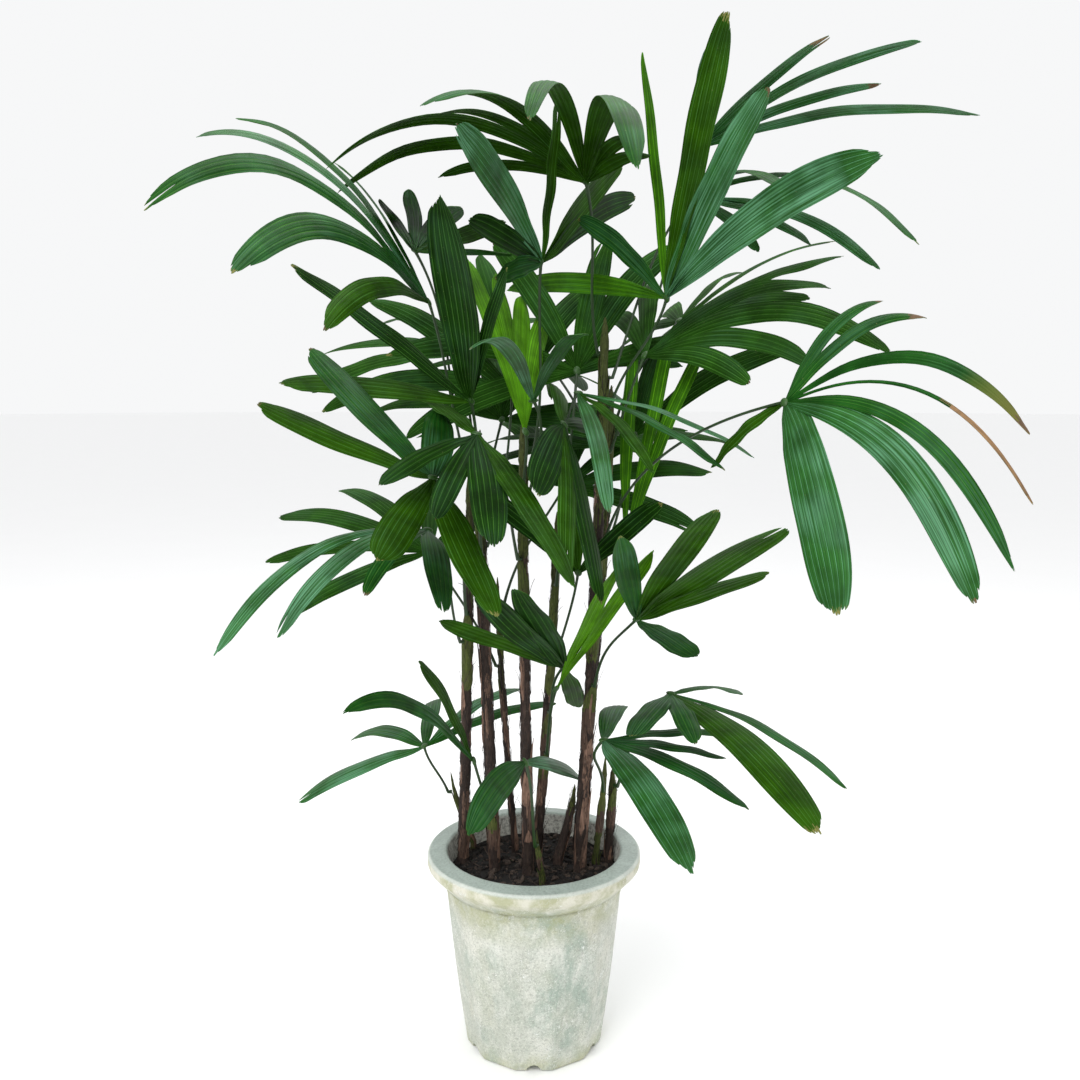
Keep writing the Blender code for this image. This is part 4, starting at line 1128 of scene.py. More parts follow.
def pot_profile():
    """Points of the pot's wall from the inner floor over the rim and down to the underside."""
    wall = [(FLOOR_INNER_RADIUS, FLOOR_THICKNESS), (inner_radius(BODY_TOP_HEIGHT), BODY_TOP_HEIGHT)]
    wall += arc((RIM_MOUTH_RADIUS + LIP_RADIUS, POT_HEIGHT - LIP_RADIUS), LIP_RADIUS, 180, 90, 8)
    outer_lip = (RIM_RADIUS - LIP_RADIUS, POT_HEIGHT - LIP_FALL - LIP_RADIUS)
    wall += arc(outer_lip, LIP_RADIUS, 90, 0, 8)
    lower_lip = (RIM_RADIUS - LOWER_LIP_RADIUS, outer_lip[1] - RIM_BAND)
    wall += arc(lower_lip, LOWER_LIP_RADIUS, 0, -50, 6)
    wall += arc((BODY_TOP_RADIUS + COLLAR_PROUD, COLLAR_FOOT), COLLAR_CURVE, 135, 180, 5)
    for i in range(1, BODY_ROWS):
        share = i / BODY_ROWS
        radius = BODY_TOP_RADIUS + (FOOT_RADIUS - BODY_TOP_RADIUS) * share
        bulge = BODY_BULGE * math.sin(math.pi * share)
        wall.append((radius + bulge, (COLLAR_FOOT - COLLAR_DROP) * (1.0 - share)))
    foot = (FOOT_RADIUS - FOOT_CHAMFER, FOOT_CHAMFER + FOOT_LIFT)
    wall += arc(foot, FOOT_CHAMFER, 10, -70, 4)
    wall += [(FOOT_RADIUS - 2 * FOOT_CHAMFER, 0.0), (FOOT_RADIUS - NOTCH_DEPTH - FOOT_BAND, 0.0)]
    wall = smooth_profile(wall, POT_REACH)
    return [(FLOOR_HUB_RADIUS, FLOOR_THICKNESS)] + wall + [(FLOOR_HUB_RADIUS, 0.0)]


def pot_skin(wobble):
    """The pot's wall turned finely, with its faint flats, a soft unevenness and no sharp lip."""
    points = []
    for radius, height in pot_profile():
        outside = radius > inner_radius(height) + WALL_LEAST or height < GAP
        flattened = outside and height < BODY_TOP_HEIGHT
        for step in range(POT_SIDES):
            angle = math.tau * step / POT_SIDES
            across = radius * facet_share(angle, height) if flattened else radius
            spot = Vector((*around(across, angle), height))
            if radius > FLOOR_INNER_RADIUS and height > FOOT_HEIGHT:
                stray = wobble * (noise.noise(spot * 22.0) + 0.5 * noise.noise(spot * 70.0))
                spot.x += stray * math.cos(angle)
                spot.y += stray * math.sin(angle)
                spot.z += 0.5 * stray
            points.append(spot)
    skin = Bundle()
    add_turned(skin, points, POT_SIDES, (0.0, 0.0, FLOOR_THICKNESS), (0.0, 0.0, 0.0))
    return skin.mesh("Pot_Skin")[0]


def add_cutters(shape):
    """The rounds that make the six arched notches and the drain hole in each."""
    middle = FOOT_RADIUS - NOTCH_DEPTH / 2 + NOTCH_PROUD
    lying = Matrix.Translation((middle, 0.0, 0.0)) @ Matrix.Rotation(math.pi / 2, 4, "Y")
    standing = Matrix.Translation((FOOT_RADIUS - DRAIN_INSET, 0.0, 0.0))
    for i in range(NOTCHES):
        turn = Matrix.Rotation(-math.pi / 2 + math.tau * i / NOTCHES, 4, "Z")
        for radius, depth, place in (
            (NOTCH_RADIUS, NOTCH_DEPTH + 2 * NOTCH_PROUD, lying),
            (DRAIN_RADIUS, 3 * FLOOR_THICKNESS, standing),
        ):
            bmesh.ops.create_cone(
                shape, cap_ends=True, segments=CUTTER_SIDES, radius1=radius, radius2=radius,
                depth=depth, matrix=turn @ place)


def mesh_of(shape, name):
    """A mesh of a shape, which is then let go."""
    mesh = bpy.data.meshes.new(name)
    shape.to_mesh(mesh)
    shape.free()
    return mesh


def cut_notches(context, skin):
    """The pot's skin with its notches and drain holes cut out."""
    shape = bmesh.new()
    add_cutters(shape)
    wall = bpy.data.objects.new("Pot_Wall", skin)
    tool = bpy.data.objects.new("Pot_Cutters", mesh_of(shape, "Cutters"))
    for thing in (wall, tool):
        context.scene.collection.objects.link(thing)
    cut = wall.modifiers.new("Notches", "BOOLEAN")
    cut.operation = "DIFFERENCE"
    cut.object = tool
    cut.solver = "EXACT"
    cut.use_self = True
    context.view_layer.update()
    mesh = bpy.data.meshes.new_from_object(wall.evaluated_get(context.evaluated_depsgraph_get()))
    for thing in (wall, tool):
        bpy.data.objects.remove(thing, do_unlink=True)
    mesh.materials.clear()
    return mesh


def soil_height(x, y, rough):
    """Height of the soil's surface at a place: humps, crumbs and a slight rise in the middle."""
    spot = Vector((x, y, 0.0))
    hump = noise.noise(spot * 28.0) + 0.5 * noise.noise(spot * 75.0)
    crumb = noise.noise(spot * 240.0) + 0.6 * noise.noise(spot * 520.0)
    away = math.hypot(x, y) / WALL_TOP_INNER_RADIUS
    rise = SOIL_RISE * (1.0 - away * away)
    return SOIL_HEIGHT + rough * (hump + 0.30 * crumb) + rise - SOIL_RISE / 2


def soil_heap(rough):
    """The filling: a crumbly top, and sides that follow the pot's inside down to its floor."""
    angles = [math.tau * step / SOIL_SIDES for step in range(SOIL_SIDES)]
    points = []
    for share in np.linspace(0.0, 1.0, SOIL_RINGS)[1:]:
        for angle in angles:
            x, y = around(share * (inner_radius(SOIL_HEIGHT) - SOIL_CLEAR), angle)
            points.append((x, y, soil_height(x, y, rough)))
    floor = FLOOR_THICKNESS + GAP
    for height in np.linspace(SOIL_HEIGHT - SOIL_EDGE, floor, SOIL_DEPTH_ROWS):
        points += [(*around(inner_radius(height) - SOIL_CLEAR, angle), height) for angle in angles]
    heap = Bundle()
    top = soil_height(0.0, 0.0, rough)
    add_turned(heap, points, SOIL_SIDES, (0.0, 0.0, top), (0.0, 0.0, floor))
    return heap


def chip_shape():
    """Points and faces of a small block with its faces cut in quarters, to be knocked about."""
    shape = bmesh.new()
    bmesh.ops.create_cube(shape, size=2.0)
    bmesh.ops.subdivide_edges(shape, edges=shape.edges[:], cuts=1, use_grid_fill=True)
    shape.verts.ensure_lookup_table()
    points = np.array([vertex.co[:] for vertex in shape.verts])
    faces = np.array([[vertex.index for vertex in face.verts] for face in shape.faces])
    shape.free()
    points /= np.linalg.norm(points, axis=1)[:, None] ** 0.6
    return points, faces


def add_chips(chips, count, rough, reach, draw):
    """Bark chips and crumbs, knocked out of true and tilted."""
    block, faces = chip_shape()
    for i in range(count):
        away = reach * math.sqrt(draw.random())
        x, y = around(away, draw.uniform(0.0, math.tau))
        size = CHIP_LEAST + CHIP_SPAN * draw.random() ** 2.4
        sides = size * np.array([1.0, draw.uniform(*CHIP_WIDE), draw.uniform(*CHIP_THICK)])
        sides[:2] *= min(1.0, (reach + CHIP_ROOM - away) / size)
        knocked = block * sides * draw.uniform(*CHIP_KNOCK, block.shape)
        tilts = [Matrix.Rotation(draw.normal(0.0, CHIP_TILT), 3, axis) for axis in "XY"]
        turn = Matrix.Rotation(draw.uniform(0.0, math.tau), 3, "Z") @ (tilts[0] @ tilts[1])
        height = soil_height(x, y, rough) + sides[2] * draw.uniform(*CHIP_PROUD)
        chips.add(knocked @ np.array(turn).T + (x, y, height), [(faces, int(draw.integers(0, 3)))])


def add_twigs(chips, rough, reach, draw):
    """Short bent twigs that follow the soil."""
    for i in range(TWIGS):
        away = (reach - TWIG_INSET) * math.sqrt(draw.random())
        x, y = around(away, draw.uniform(0.0, math.tau))
        heading = draw.uniform(0.0, math.tau)
        length = draw.uniform(*TWIG_LENGTH)
        bend = draw.uniform(*TWIG_BEND)
        path = []
        for step in range(TWIG_STEPS):
            if math.hypot(x, y) > reach:
                break
            lift = TWIG_LIFT + TWIG_WAVE * math.sin(step)
            path.append((x, y, soil_height(x, y, rough) + lift))
            x += length / (TWIG_STEPS - 1) * math.cos(heading)
            y += length / (TWIG_STEPS - 1) * math.sin(heading)
            heading += bend
        if len(path) > 2:
            wide = draw.uniform(*TWIG_RADIUS)
            add_tube(chips, path, [wide] * len(path), 5, int(draw.integers(1, 4)))


def ring_noise(angles, scale, height):
    """Noise round a ring, whose ends meet with no break."""
    return np.array([noise.noise(Vector((*around(scale, angle), height))) for angle in angles])


def line_noise(places, height):
    """Noise along a line."""
    return np.array([noise.noise(Vector((place, height, 0.0))) for place in places])


def node_heights(cane, draw):
    """Heights of the rings that old sheaths leave on a cane."""
    heights = []
    height = SOIL_HEIGHT + draw.uniform(*FIRST_NODE)
    while height < cane.tip[2]:
        heights.append(height)
        height += draw.uniform(*NODE_STEP)
    return heights


def cane_skin(bundle, cane, look):
    """A cane's relief: rings, ragged edges of worn sheaths, upright fibres and a flared foot."""
    draw = np.random.default_rng(CANE_SEED + round(1e5 * abs(cane.foot[0])))
    shoot = cane.name in SHOOTS
    swell, fine_relief, coarse_relief = (0.05, 0.0002, 0.0001) if shoot else (0.11, 0.0006, 0.0004)
    rise = cane.tip[2] - SOIL_HEIGHT
    rows = max(12, round(rise / CANE_ROW))
    levels = np.linspace(SOIL_HEIGHT - CANE_SUNK, cane.tip[2], rows)
    angles = np.arange(CANE_SIDES) * math.tau / CANE_SIDES
    radii = np.array([cane_radius(cane, level) for level in levels])
    foot = np.clip(1.0 - (levels - SOIL_HEIGHT) / (2.2 * FLARE_HEIGHT), 0.0, 1.0)
    radii = radii * (1.0 + (FLARE - 1.0) * foot ** 2) - look.sheath
    relief = np.zeros((rows, CANE_SIDES))
    tan = np.zeros((rows, CANE_SIDES), dtype=bool)
    for height in node_heights(cane, draw):
        above = levels - height
        relief += (swell * radii * np.exp(-(above / RING_HEIGHT) ** 2))[:, None]
        groove = np.exp(-((above + GROOVE_FALL) / GROOVE_HEIGHT) ** 2)
        relief -= (GROOVE_DEPTH * radii * groove)[:, None]
        length = draw.uniform(*WORN_LENGTH)
        ragged = 0.55 + 0.45 * ring_noise(angles, 2.2, 31.0 * height)
        share = above[:, None] / (length * ragged)
        worn = (share > 0.0) & (share < 1.0)
        relief += worn * look.sheath * (1.0 - 0.5 * share)
        if draw.random() < TAN_SHARE and (height - SOIL_HEIGHT) / rise < GREEN_FROM and not shoot:
            facing = draw.uniform(0.0, math.tau)
            wide = draw.uniform(*TAN_WIDTH)
            tall = draw.uniform(*TAN_LENGTH)
            off = np.abs((angles - facing + math.pi) % math.tau - math.pi)
            jag = 0.22 * line_noise(6 * angles, 90.0 * height)
            climb = np.clip(above[:, None] / tall + jag, 0.0, 1.0)
            tan |= off < wide * np.sin(math.pi * climb ** 0.6) - 0.05
    fibre = np.array([ring_noise(angles, 5.5, 26.0 * level) for level in levels])
    coarse = np.array([ring_noise(angles, 2.0, 60.0 * level) for level in levels])
    relief += fine_relief * fibre + coarse_relief * coarse
    close = np.clip((cane.tip[2] - levels) / CANE_CLOSE, 0.0, 1.0)
    reach = (radii[:, None] + relief) * (0.12 + 0.88 * close ** 0.7)[:, None]
    centre = np.array([cane_point(cane, max(level, SOIL_HEIGHT)) for level in levels])
    centre[:, 2] = levels
    ring = np.stack([np.cos(angles), np.sin(angles), np.zeros(CANE_SIDES)], axis=-1)
    points = centre[:, None] + ring * reach[:, :, None]
    points[0] = centre[0] + ring * radii[0] * 0.9
    green = ((levels - SOIL_HEIGHT) / rise - (0.0 if shoot else GREEN_FROM)) / GREEN_SPAN
    fresh = fibre * 1.6 + green[:, None] > 0.0
    looks = np.where(tan, 1, np.where(fresh, 2, 0))[:-1].ravel()
    wall, start, end = tube_faces(rows, CANE_SIDES)
    bundle.add(points.reshape(-1, 3), [(wall, looks), (start, 0), (end, 2)])


def add_flap(bundle, cane, height, facing, wide, tall, proud, peel, looks, change=0.0):
    """A sheath wrapped round part of a cane: wide at its foot, pointed and standing off at its tip.

    Its foot has the first of its two looks, up to a ragged line at a share of its height.
    """
    upper = np.zeros((FLAP_ROWS, FLAP_COLUMNS, 3))
    lower = np.zeros_like(upper)
    places = np.zeros((FLAP_ROWS, FLAP_COLUMNS, 2))
    for i in range(FLAP_ROWS):
        share = i / (FLAP_ROWS - 1)
        level = height + tall * share
        centre = np.array(cane_point(cane, level))
        centre[2] = level
        risen = min(1.0, share / FLAP_RISE)
        radius = cane_radius(cane, level) + proud * (2.0 * risen - 1.0) + peel * share ** 3
        half = wide * min(1.0, (share + 0.02) / 0.25) ** 0.6 * (1.0 - share ** 1.4) + 0.03
        for j in range(FLAP_COLUMNS):
            across = 2.0 * j / (FLAP_COLUMNS - 1) - 1.0
            out = np.array([*around(1.0, facing - half * across), 0.0])
            crease = 0.00025 * math.cos(9.0 * half * across)
            upper[i, j] = centre + out * (radius + crease)
            lower[i, j] = centre + out * (radius + crease - FLAP_THICKNESS)
            places[i, j] = (half * across * radius, level)
    levels = (np.arange(FLAP_ROWS - 1) + 0.5) / (FLAP_ROWS - 1)
    jag = 0.16 * line_noise(1.7 * np.arange(FLAP_COLUMNS - 1), 50.0 * height)
    look = np.where(levels[:, None] < change + jag, looks[0], looks[1]).ravel()
    add_sheet(bundle, upper, lower, look, look, looks[1], places.reshape(-1, 2))


def old_sheaths(bundle):
    """Dried sheaths that still cling to the canes, thickest near the soil."""
    draw = random.Random(SHEATH_SEED)
    for cane in CANES:
        rise = cane.tip[2] - SOIL_HEIGHT
        count, up_to, size, looks = round(OLD_SHEATHS * rise / FULL_RISE), 0.62, 1.0, (0, 0, 1)
        if cane.name in SHOOTS:
            count, up_to, size, looks = SHOOT_SHEATHS, 0.35, 0.6, (0, 2, 2)
        for i in range(count):
            share = draw.random() ** 1.7 * up_to
            tall = draw.uniform(*OLD_LENGTH) * size
            height = SOIL_HEIGHT - FLAP_SUNK + (share * (rise - tall) if i > 1 else 0.0)
            add_flap(
                bundle, cane, height, draw.uniform(0.0, math.tau), draw.uniform(*OLD_WIDTH), tall,
                OLD_PROUD, draw.uniform(*OLD_PEEL), (1, draw.choice(looks)), OLD_CHANGE)


def live_sheaths(bundle):
    """The green sheath below each frond, which clasps the cane and narrows into the stalk."""
    for frond in FRONDS + back_fronds():
        cane = CANE_OF[frond.cane]
        start, elbow = stalk_path(frond)[:2]
        out = elbow - start
        tall = min(SHEATH_LENGTH, 0.7 * (frond.sheath - SOIL_HEIGHT))
        change = 0.5 if frond.sheath < LEAFY_FROM else -1.0
        add_flap(
            bundle, cane, frond.sheath - tall, math.atan2(out.y, out.x), SHEATH_WIDTH,
            tall + SHEATH_OVER, SHEATH_PROUD, SHEATH_PEEL * cane_radius(cane, frond.sheath), (1, 2),
            change)


def wind_fibres(bundle, count):
    """Black fibres wound slantwise round the canes, with loose ends that stand off."""
    draw = random.Random(FIBRE_SEED)
    for cane in CANES:
        if cane.name in SHOOTS:
            continue
        rise = cane.tip[2] - SOIL_HEIGHT
        for i in range(round(count * rise / FULL_RISE)):
            start = SOIL_HEIGHT + 0.002 + draw.random() ** 1.2 * (rise * 0.86)
            angle = draw.uniform(0.0, math.tau)
            lean = draw.choice((-1, 1)) * draw.uniform(*FIBRE_LEAN)
            tall = draw.uniform(*FIBRE_LENGTH)
            loose = draw.random() < LOOSE_SHARE
            stand = draw.uniform(*LOOSE_STAND) if loose else 0.0
            wave = draw.uniform(*FIBRE_WAVE)
            shares = [step / (FIBRE_STEPS - 1) for step in range(FIBRE_STEPS)]
            path = []
            for share in shares:
                level = min(start + tall * share, cane.tip[2] - 0.002)
                centre = cane_point(cane, level)
                away = cane_radius(cane, level) + FIBRE_PROUD + stand * share ** 3
                x, y = around(away, angle + lean * share + wave * math.sin(3 * share))
                path.append((centre.x + x, centre.y + y, level))
            thin = draw.uniform(*FIBRE_RADIUS)
            add_tube(bundle, path, [thin * (1.0 - 0.4 * share) for share in shares], 4, 0)


def stalk_skin(bundle, frond):
    """A frond's stalk, thick where it leaves its sheath, and the knob that its leaflets are on."""
    path = np.array(stalk_path(frond))
    share = np.linspace(0.0, 1.0, len(path))
    at_foot, at_hub = np.exp(-share * 16.0), np.exp(-(1.0 - share) * 22.0)
    radii = STALK_RADIUS * (0.88 + 0.55 * at_foot + 0.30 * at_hub)
    add_tube(bundle, path, radii, STALK_SIDES, 0, STALK_FLAT)
    line, side, normal = (np.array(axis) for axis in blade_frame(frond))
    points = []
    for level in np.linspace(-1.0, 1.0, KNOB_ROWS):
        wide = KNOB_RADIUS * math.sqrt(max(0.02, 1.0 - level * level))
        for angle in np.arange(KNOB_SIDES) * math.tau / KNOB_SIDES:
            across = math.cos(angle) * side * 1.2 + math.sin(angle) * normal * 0.6
            points.append(np.array(frond.hub) + line * level * KNOB_RADIUS * 1.5 + across * wide)
    bundle.add(points, [(faces[:, ::-1], 1) for faces in tube_faces(KNOB_ROWS, KNOB_SIDES)])


def leaf_tone(frond, index, draw):
    """The green of a leaflet, the look of its dried end if it has one, and where that begins."""
    letter = frond.tones[index] if index < len(frond.tones) else draw.choice(OTHER_TONES)
    tone = TONE_OF[letter]
    end = ENDS.get((frond.name, index))
    if end is not None:
        return tone, LOOK[end[0]], end[1]
    chance = draw.random()
    if frond.name in NEW_FRONDS or chance < GREEN_SHARE:
        return tone, None, 1.0
    if chance < GREEN_SHARE + BROWN_SHARE:
        return tone, LOOK["Tip_Brown"], draw.uniform(*BROWN_FROM)
    return tone, LOOK["Tip_Yellow"], draw.uniform(*YELLOW_FROM)


def profile_share(share, tip, widest, power):
    """A leaflet's half width along it, rounder than in the solids and with its own tip."""
    if share < widest:
        return math.sin(math.pi / 2 * share / widest) ** power
    fall = (share - widest) / (1.0 - widest)
    return 1.0 - (1.0 - tip) * fall ** TIP_POWER


def blade_ends(ribs, across, whole, draw):
    """Where each line along a leaflet ends, as a share of its length, and its split if it has one.

    The tip is toothed between the ribs and rounded off. The split is its line and its depth.
    """
    stride = len(RIB_COLUMNS)
    ends = np.repeat([1.0 - draw.uniform(0.0, 0.016) for rib in range(ribs)], stride)
    ends = np.append(ends, ends[-1])
    for line in range(0, len(ends), stride):
        ends[line] = min(ends[max(0, line - 1)], ends[line]) - draw.uniform(*NOTCH_FALL)
    ends -= draw.uniform(*EDGE_FALL) * np.abs(across) ** 2.2
    ends += draw.uniform(-0.025, 0.025) * across
    ends += 1.0 - ends.max()
    split = None
    if draw.random() < SPLIT_SHARE and ribs > 3 and not whole:
        split = draw.randrange(1, ribs) * stride, draw.uniform(*SPLIT_DEPTH)
        ends[split[0]] = 1.0 - split[1]
    return ends, split


def blade_rows(ends):
    """The rows of a leaflet, closer together at its tip: a grid of shares of its length."""
    tip_rows = np.linspace(1.0, 0.0, TIP_ROWS)[1:] ** TIP_DENSITY
    even_rows = np.linspace(0.0, TIP_ROWS_FROM, BLADE_ROWS)
    shares = np.concatenate([even_rows, 1.0 - (1.0 - TIP_ROWS_FROM) * tip_rows])[:, None]
    late = np.clip((shares - TIP_ROWS_FROM) / (1.0 - TIP_ROWS_FROM), 0.0, 1.0)
    return np.where(late > 0.0, TIP_ROWS_FROM + late * (ends - TIP_ROWS_FROM), shares)


def sampled(values, along):
    """Values of an even path at a grid of shares of its length."""
    steps = np.linspace(0.0, 1.0, len(values))
    return np.stack([np.interp(along, steps, values[:, axis]) for axis in range(3)], axis=-1)


def blade_looks(frond, tone, columns, rows):
    """Looks of the faces of a leaflet's upper side and of its lower side, with its ribs."""
    below = tone if frond.name in TURNED else LOOK["Leaf_Under"]
    if frond.name == GREEN_BELOW:
        below = LOOK["Leaf_Middle"]
    on_rib = (np.arange(columns - 1) % len(RIB_COLUMNS)) == RIB_COLUMN
    return [
        np.tile(np.where(on_rib, RIB_OF[green], green), (rows - 1, 1)) for green in (tone, below)]


def blade_skin(bundle, frond, index, look, draw):
    """One leaflet: ribbed, with teeth or a split at its tip, and a dried end where it has one."""
    turn, length, ribs, *sag = frond.leaflets[index]
    key = (frond.name, index)
    new = frond.name in NEW_FRONDS
    tone, end_look, end_from = leaf_tone(frond, index, draw)
    width = ribs * RIB_WIDTH * WIDTHS.get(key, WIDTHS.get(frond.name, 1.0))
    path, edges = leaflet_path(frond.hub, blade_frame(frond), turn, length, frond.droop + sum(sag))
    tip = draw.uniform(*TIP_SHARE)
    power = NEW_ROOT_POWER if new else BROAD_ROOTS.get(key, ROOT_POWER)
    widest = draw.uniform(*WIDEST) + (NEW_WIDER if new else 0.0)
    twist = draw.uniform(-1.0, 1.0) * look.twist
    sway = draw.uniform(*SWAY) * length / 0.3
    ripple = draw.uniform(*RIPPLE_HEIGHT)
    ripples = draw.uniform(*RIPPLES)
    phase = draw.uniform(0.0, math.tau)
    cells = np.concatenate([rib + np.array(RIB_COLUMNS) for rib in range(ribs)] + [[float(ribs)]])
    ridge = np.concatenate([np.array(RIB_RISE)] * ribs + [[RIB_RISE[0]]])
    across = 2.0 * cells / ribs - 1.0
    ends, split = blade_ends(ribs, across, frond.name in WHOLE_FRONDS, draw)
    along = blade_rows(ends)
    rows, columns = along.shape
    half = np.array([
        [max(ROOT_HALF_WIDTH, width / 2 * profile_share(s, tip, widest, power)) for s in row]
        for row in along
    ])
    spread = np.broadcast_to(across, along.shape).copy()
    if split is not None:
        line, depth = split
        open_by = np.clip((along - (1.0 - depth)) / depth, 0.0, 1.0) * draw.uniform(*SPLIT_SPREAD)
        spread += open_by * np.sign(np.arange(columns) - line)

    # Directions on the blade: along it, across it and up from it, turned by its twist
    ahead = unit(sampled(np.gradient(path, axis=0), along))
    edge = sampled(edges, along)
    edge -= ahead * np.sum(edge * ahead, axis=-1)[..., None]
    edge = unit(edge)
    upward = np.cross(edge, ahead)
    angle = (twist * along ** 1.6)[..., None]
    cos, sin = np.cos(angle), np.sin(angle)
    edge, upward = edge * cos + upward * sin, upward * cos - edge * sin

    # Its relief: pleats at the ribs, a dished section, a fold at the root and a wavy edge
    young = np.clip(1.0 - along / 0.30, 0.0, 1.0)
    pleat = 2.0 * half / ribs * (RIB_HEIGHT + 0.26 * young) * ridge
    lift = PLEAT * half * spread ** 2 * draw.uniform(*DISH)
    fold = 0.55 * half * np.abs(spread) * np.clip(1.0 - along / 0.22, 0.0, 1.0)
    wave = ripple * np.sin(math.tau * ripples * along + phase) * np.abs(spread) ** 2
    wave = wave * np.clip(along / 0.3, 0.0, 1.0)
    out = half * spread + sway * np.sin(math.pi * along) ** 2
    rise = lift + fold + wave + pleat
    middle = sampled(path, along) + edge * out[..., None] + upward * rise[..., None]
    thin = look.thickness / 2 * (1.0 + 1.2 * np.clip(1.0 - along / 0.15, 0.0, 1.0))
    skin = upward * thin[..., None]

    top, under = blade_looks(frond, tone, columns, rows)
    if end_look is not None:
        jag = [draw.uniform(-0.012, 0.012) for column in range(columns - 1)]
        dried = (along[:-1, :-1] + along[1:, 1:]) / 2 > end_from + np.array(jag)
        top, under = (np.where(dried, end_look, side) for side in (top, under))
    places = np.stack([np.broadcast_to(across * width / 2, along.shape), along * length], axis=-1)
    places[..., 0] += 0.2 * index
    add_sheet(
        bundle, middle + skin, middle - skin, top.ravel(), under.ravel(), RIB_OF[tone],
        places.reshape(-1, 2))


def cane_looks(look):
    """The canes' finishes: dark bark, tan sheath, and the green of their upper ends."""
    return [
        bark_finish("Cane_Dark", look.bark, shaded(look.bark, 2.4), 0.7),
        bark_finish("Cane_Tan", shaded(look.old_sheath, 0.78), shaded(look.bark, 1.0), 0.9),
        bark_finish("Cane_Green", shaded(look.green_sheath, 0.75), shaded(look.bark, 1.5), 0.35),
    ]


def leaf_looks(look):
    """The leaflets' finishes, in the order of LEAF_LOOKS."""
    aged = blended(look.young, look.dry, 0.7)
    return [
        # The last number of each leaflet finish is the share of painted sheen laid over it
        leaf_finish("Leaf_Deep", look.deep, 0.36, 0.15, 0.12),
        leaf_finish("Leaf_Middle", look.middle, 0.36, 0.20, 0.32),
        leaf_finish("Leaf_Olive", look.olive, 0.40, 0.06, 0.05),
        leaf_finish("Leaf_Gloss", look.gloss, 0.32, 0.30, 1.0),
        leaf_finish("Leaf_Fresh", look.fresh, 0.40, 0.10, 0.10),
        leaf_finish("Leaf_New", look.young, 0.44, 0.06, 0.0),
        leaf_finish("Leaf_Under", look.under, 0.50, 0.0, 0.15),
        leaf_finish("Leaf_Rib", look.rib, 0.44, 0.0, 0.20),
        # The ribs of the glossy leaflets are mixed towards the painted sheen colour: a painted
        # sheen along the ribs on top of their paler green
        leaf_finish("Leaf_Rib_Gloss", blended(look.gloss, SHEEN_COLOUR, 0.40), 0.40, 0.0, 0.50),
        leaf_finish("Leaf_Rib_New", shaded(look.young, 1.5), 0.44, 0.0, 0.0),
        dry_finish("Tip_Yellow", blended(look.young, look.dry, 0.6)),
        dry_finish("Tip_Brown", shaded(look.dry, 0.5)),
        dry_finish("Tip_Tan", shaded(look.dry, 0.95)),
        leaf_finish("Leaf_Ageing", look.middle, 0.42, 0.10, 0.10, aged),
    ]


def area_light(name, place, target, size, power):
    """A large soft light that faces a point."""
    lamp = bpy.data.lights.new(name, "AREA")
    lamp.shape = "DISK"
    lamp.size = size
    lamp.energy = power
    made = bpy.data.objects.new(name, lamp)
    made.location = place
    made.rotation_euler = (Vector(target) - Vector(place)).to_track_quat("-Z", "Y").to_euler()
    bpy.context.scene.collection.objects.link(made)


class Step:
    """What every operator shares."""

    bl_options = {"REGISTER", "UNDO"}


class PALM_OT_stage(Step, bpy.types.Operator):
    """Set the floor, the lights and the camera"""

    bl_idname = "palm.stage"
    bl_label = "Stage"

    def execute(self, context):
        look = context.scene.palm_stage
        scene = context.scene
        shape = bmesh.new()
        bmesh.ops.create_circle(shape, cap_ends=True, segments=96, radius=FLOOR_RADIUS)
        mesh = mesh_of(shape, "Floor")
        mesh.materials.append(floor_finish(look.floor))
        floor = bpy.data.objects.new("Floor", mesh)
        scene.collection.objects.link(floor)
        world = bpy.data.worlds.new("Studio")
        world.use_nodes = True
        sky = world.node_tree.nodes["Background"]
        sky.inputs["Color"].default_value = SKY_COLOUR
        sky.inputs["Strength"].default_value = look.sky
        scene.world = world
        area_light("Key", (-1.3, -2.3, 2.9), (0.0, 0.0, 0.7), 2.4, look.key)
        area_light("Overhead", (0.5, 0.6, 3.2), (0.0, 0.0, 0.6), 2.6, look.top)
        lens = bpy.data.cameras.new("Camera")
        lens.lens = lens.sensor_width = LENS
        lens.clip_end = 200.0
        camera = bpy.data.objects.new("Camera", lens)
        camera.location = CAMERA_PLACE
        camera.rotation_euler = (math.radians(CAMERA_TILT), 0.0, 0.0)
        scene.collection.objects.link(camera)
        scene.camera = camera
        scene.view_settings.view_transform = "Standard"
        return {"FINISHED"}


class PALM_OT_pot(Step, bpy.types.Operator):
    """Build the rimmed pot with its notched foot"""

    bl_idname = "palm.pot"
    bl_label = "Pot"

    def execute(self, context):
        look = context.scene.palm_pot
        mesh = cut_notches(context, pot_skin(look.wobble))
        show("Pot_Glazed", mesh, [pot_finish(look)], ("Pot",), 40.0)
        return {"FINISHED"}


class PALM_OT_soil(Step, bpy.types.Operator):
    """Build the soil, and the bark chips and twigs on it"""

    bl_idname = "palm.soil"
    bl_label = "Soil"

    def execute(self, context):
        look = context.scene.palm_soil
        humus = soil_finish("Soil_Humus", look.humus, shaded(look.humus, 2.4))
        show_bundle("Soil_Heap", soil_heap(look.rough), [humus], ("Soil",), 60.0)
        looks = [
            soil_finish("Chip_Black", shaded(look.humus, 1.1), look.humus),
            soil_finish("Chip_Brown", shaded(look.chip, 0.22), look.humus),
            soil_finish("Chip_Pale", shaded(look.chip, 0.60), shaded(look.chip, 0.2)),
            soil_finish("Twig_Pale", look.chip, shaded(look.chip, 0.4)),
        ]
        draw = np.random.default_rng(CHIP_SEED)
        reach = inner_radius(SOIL_HEIGHT) - CHIP_INSET
        chips = Bundle()
        add_chips(chips, look.chips, look.rough, reach, draw)
        add_twigs(chips, look.rough, reach, draw)
        show_bundle("Soil_Chips", chips, looks, (), 50.0)
        return {"FINISHED"}


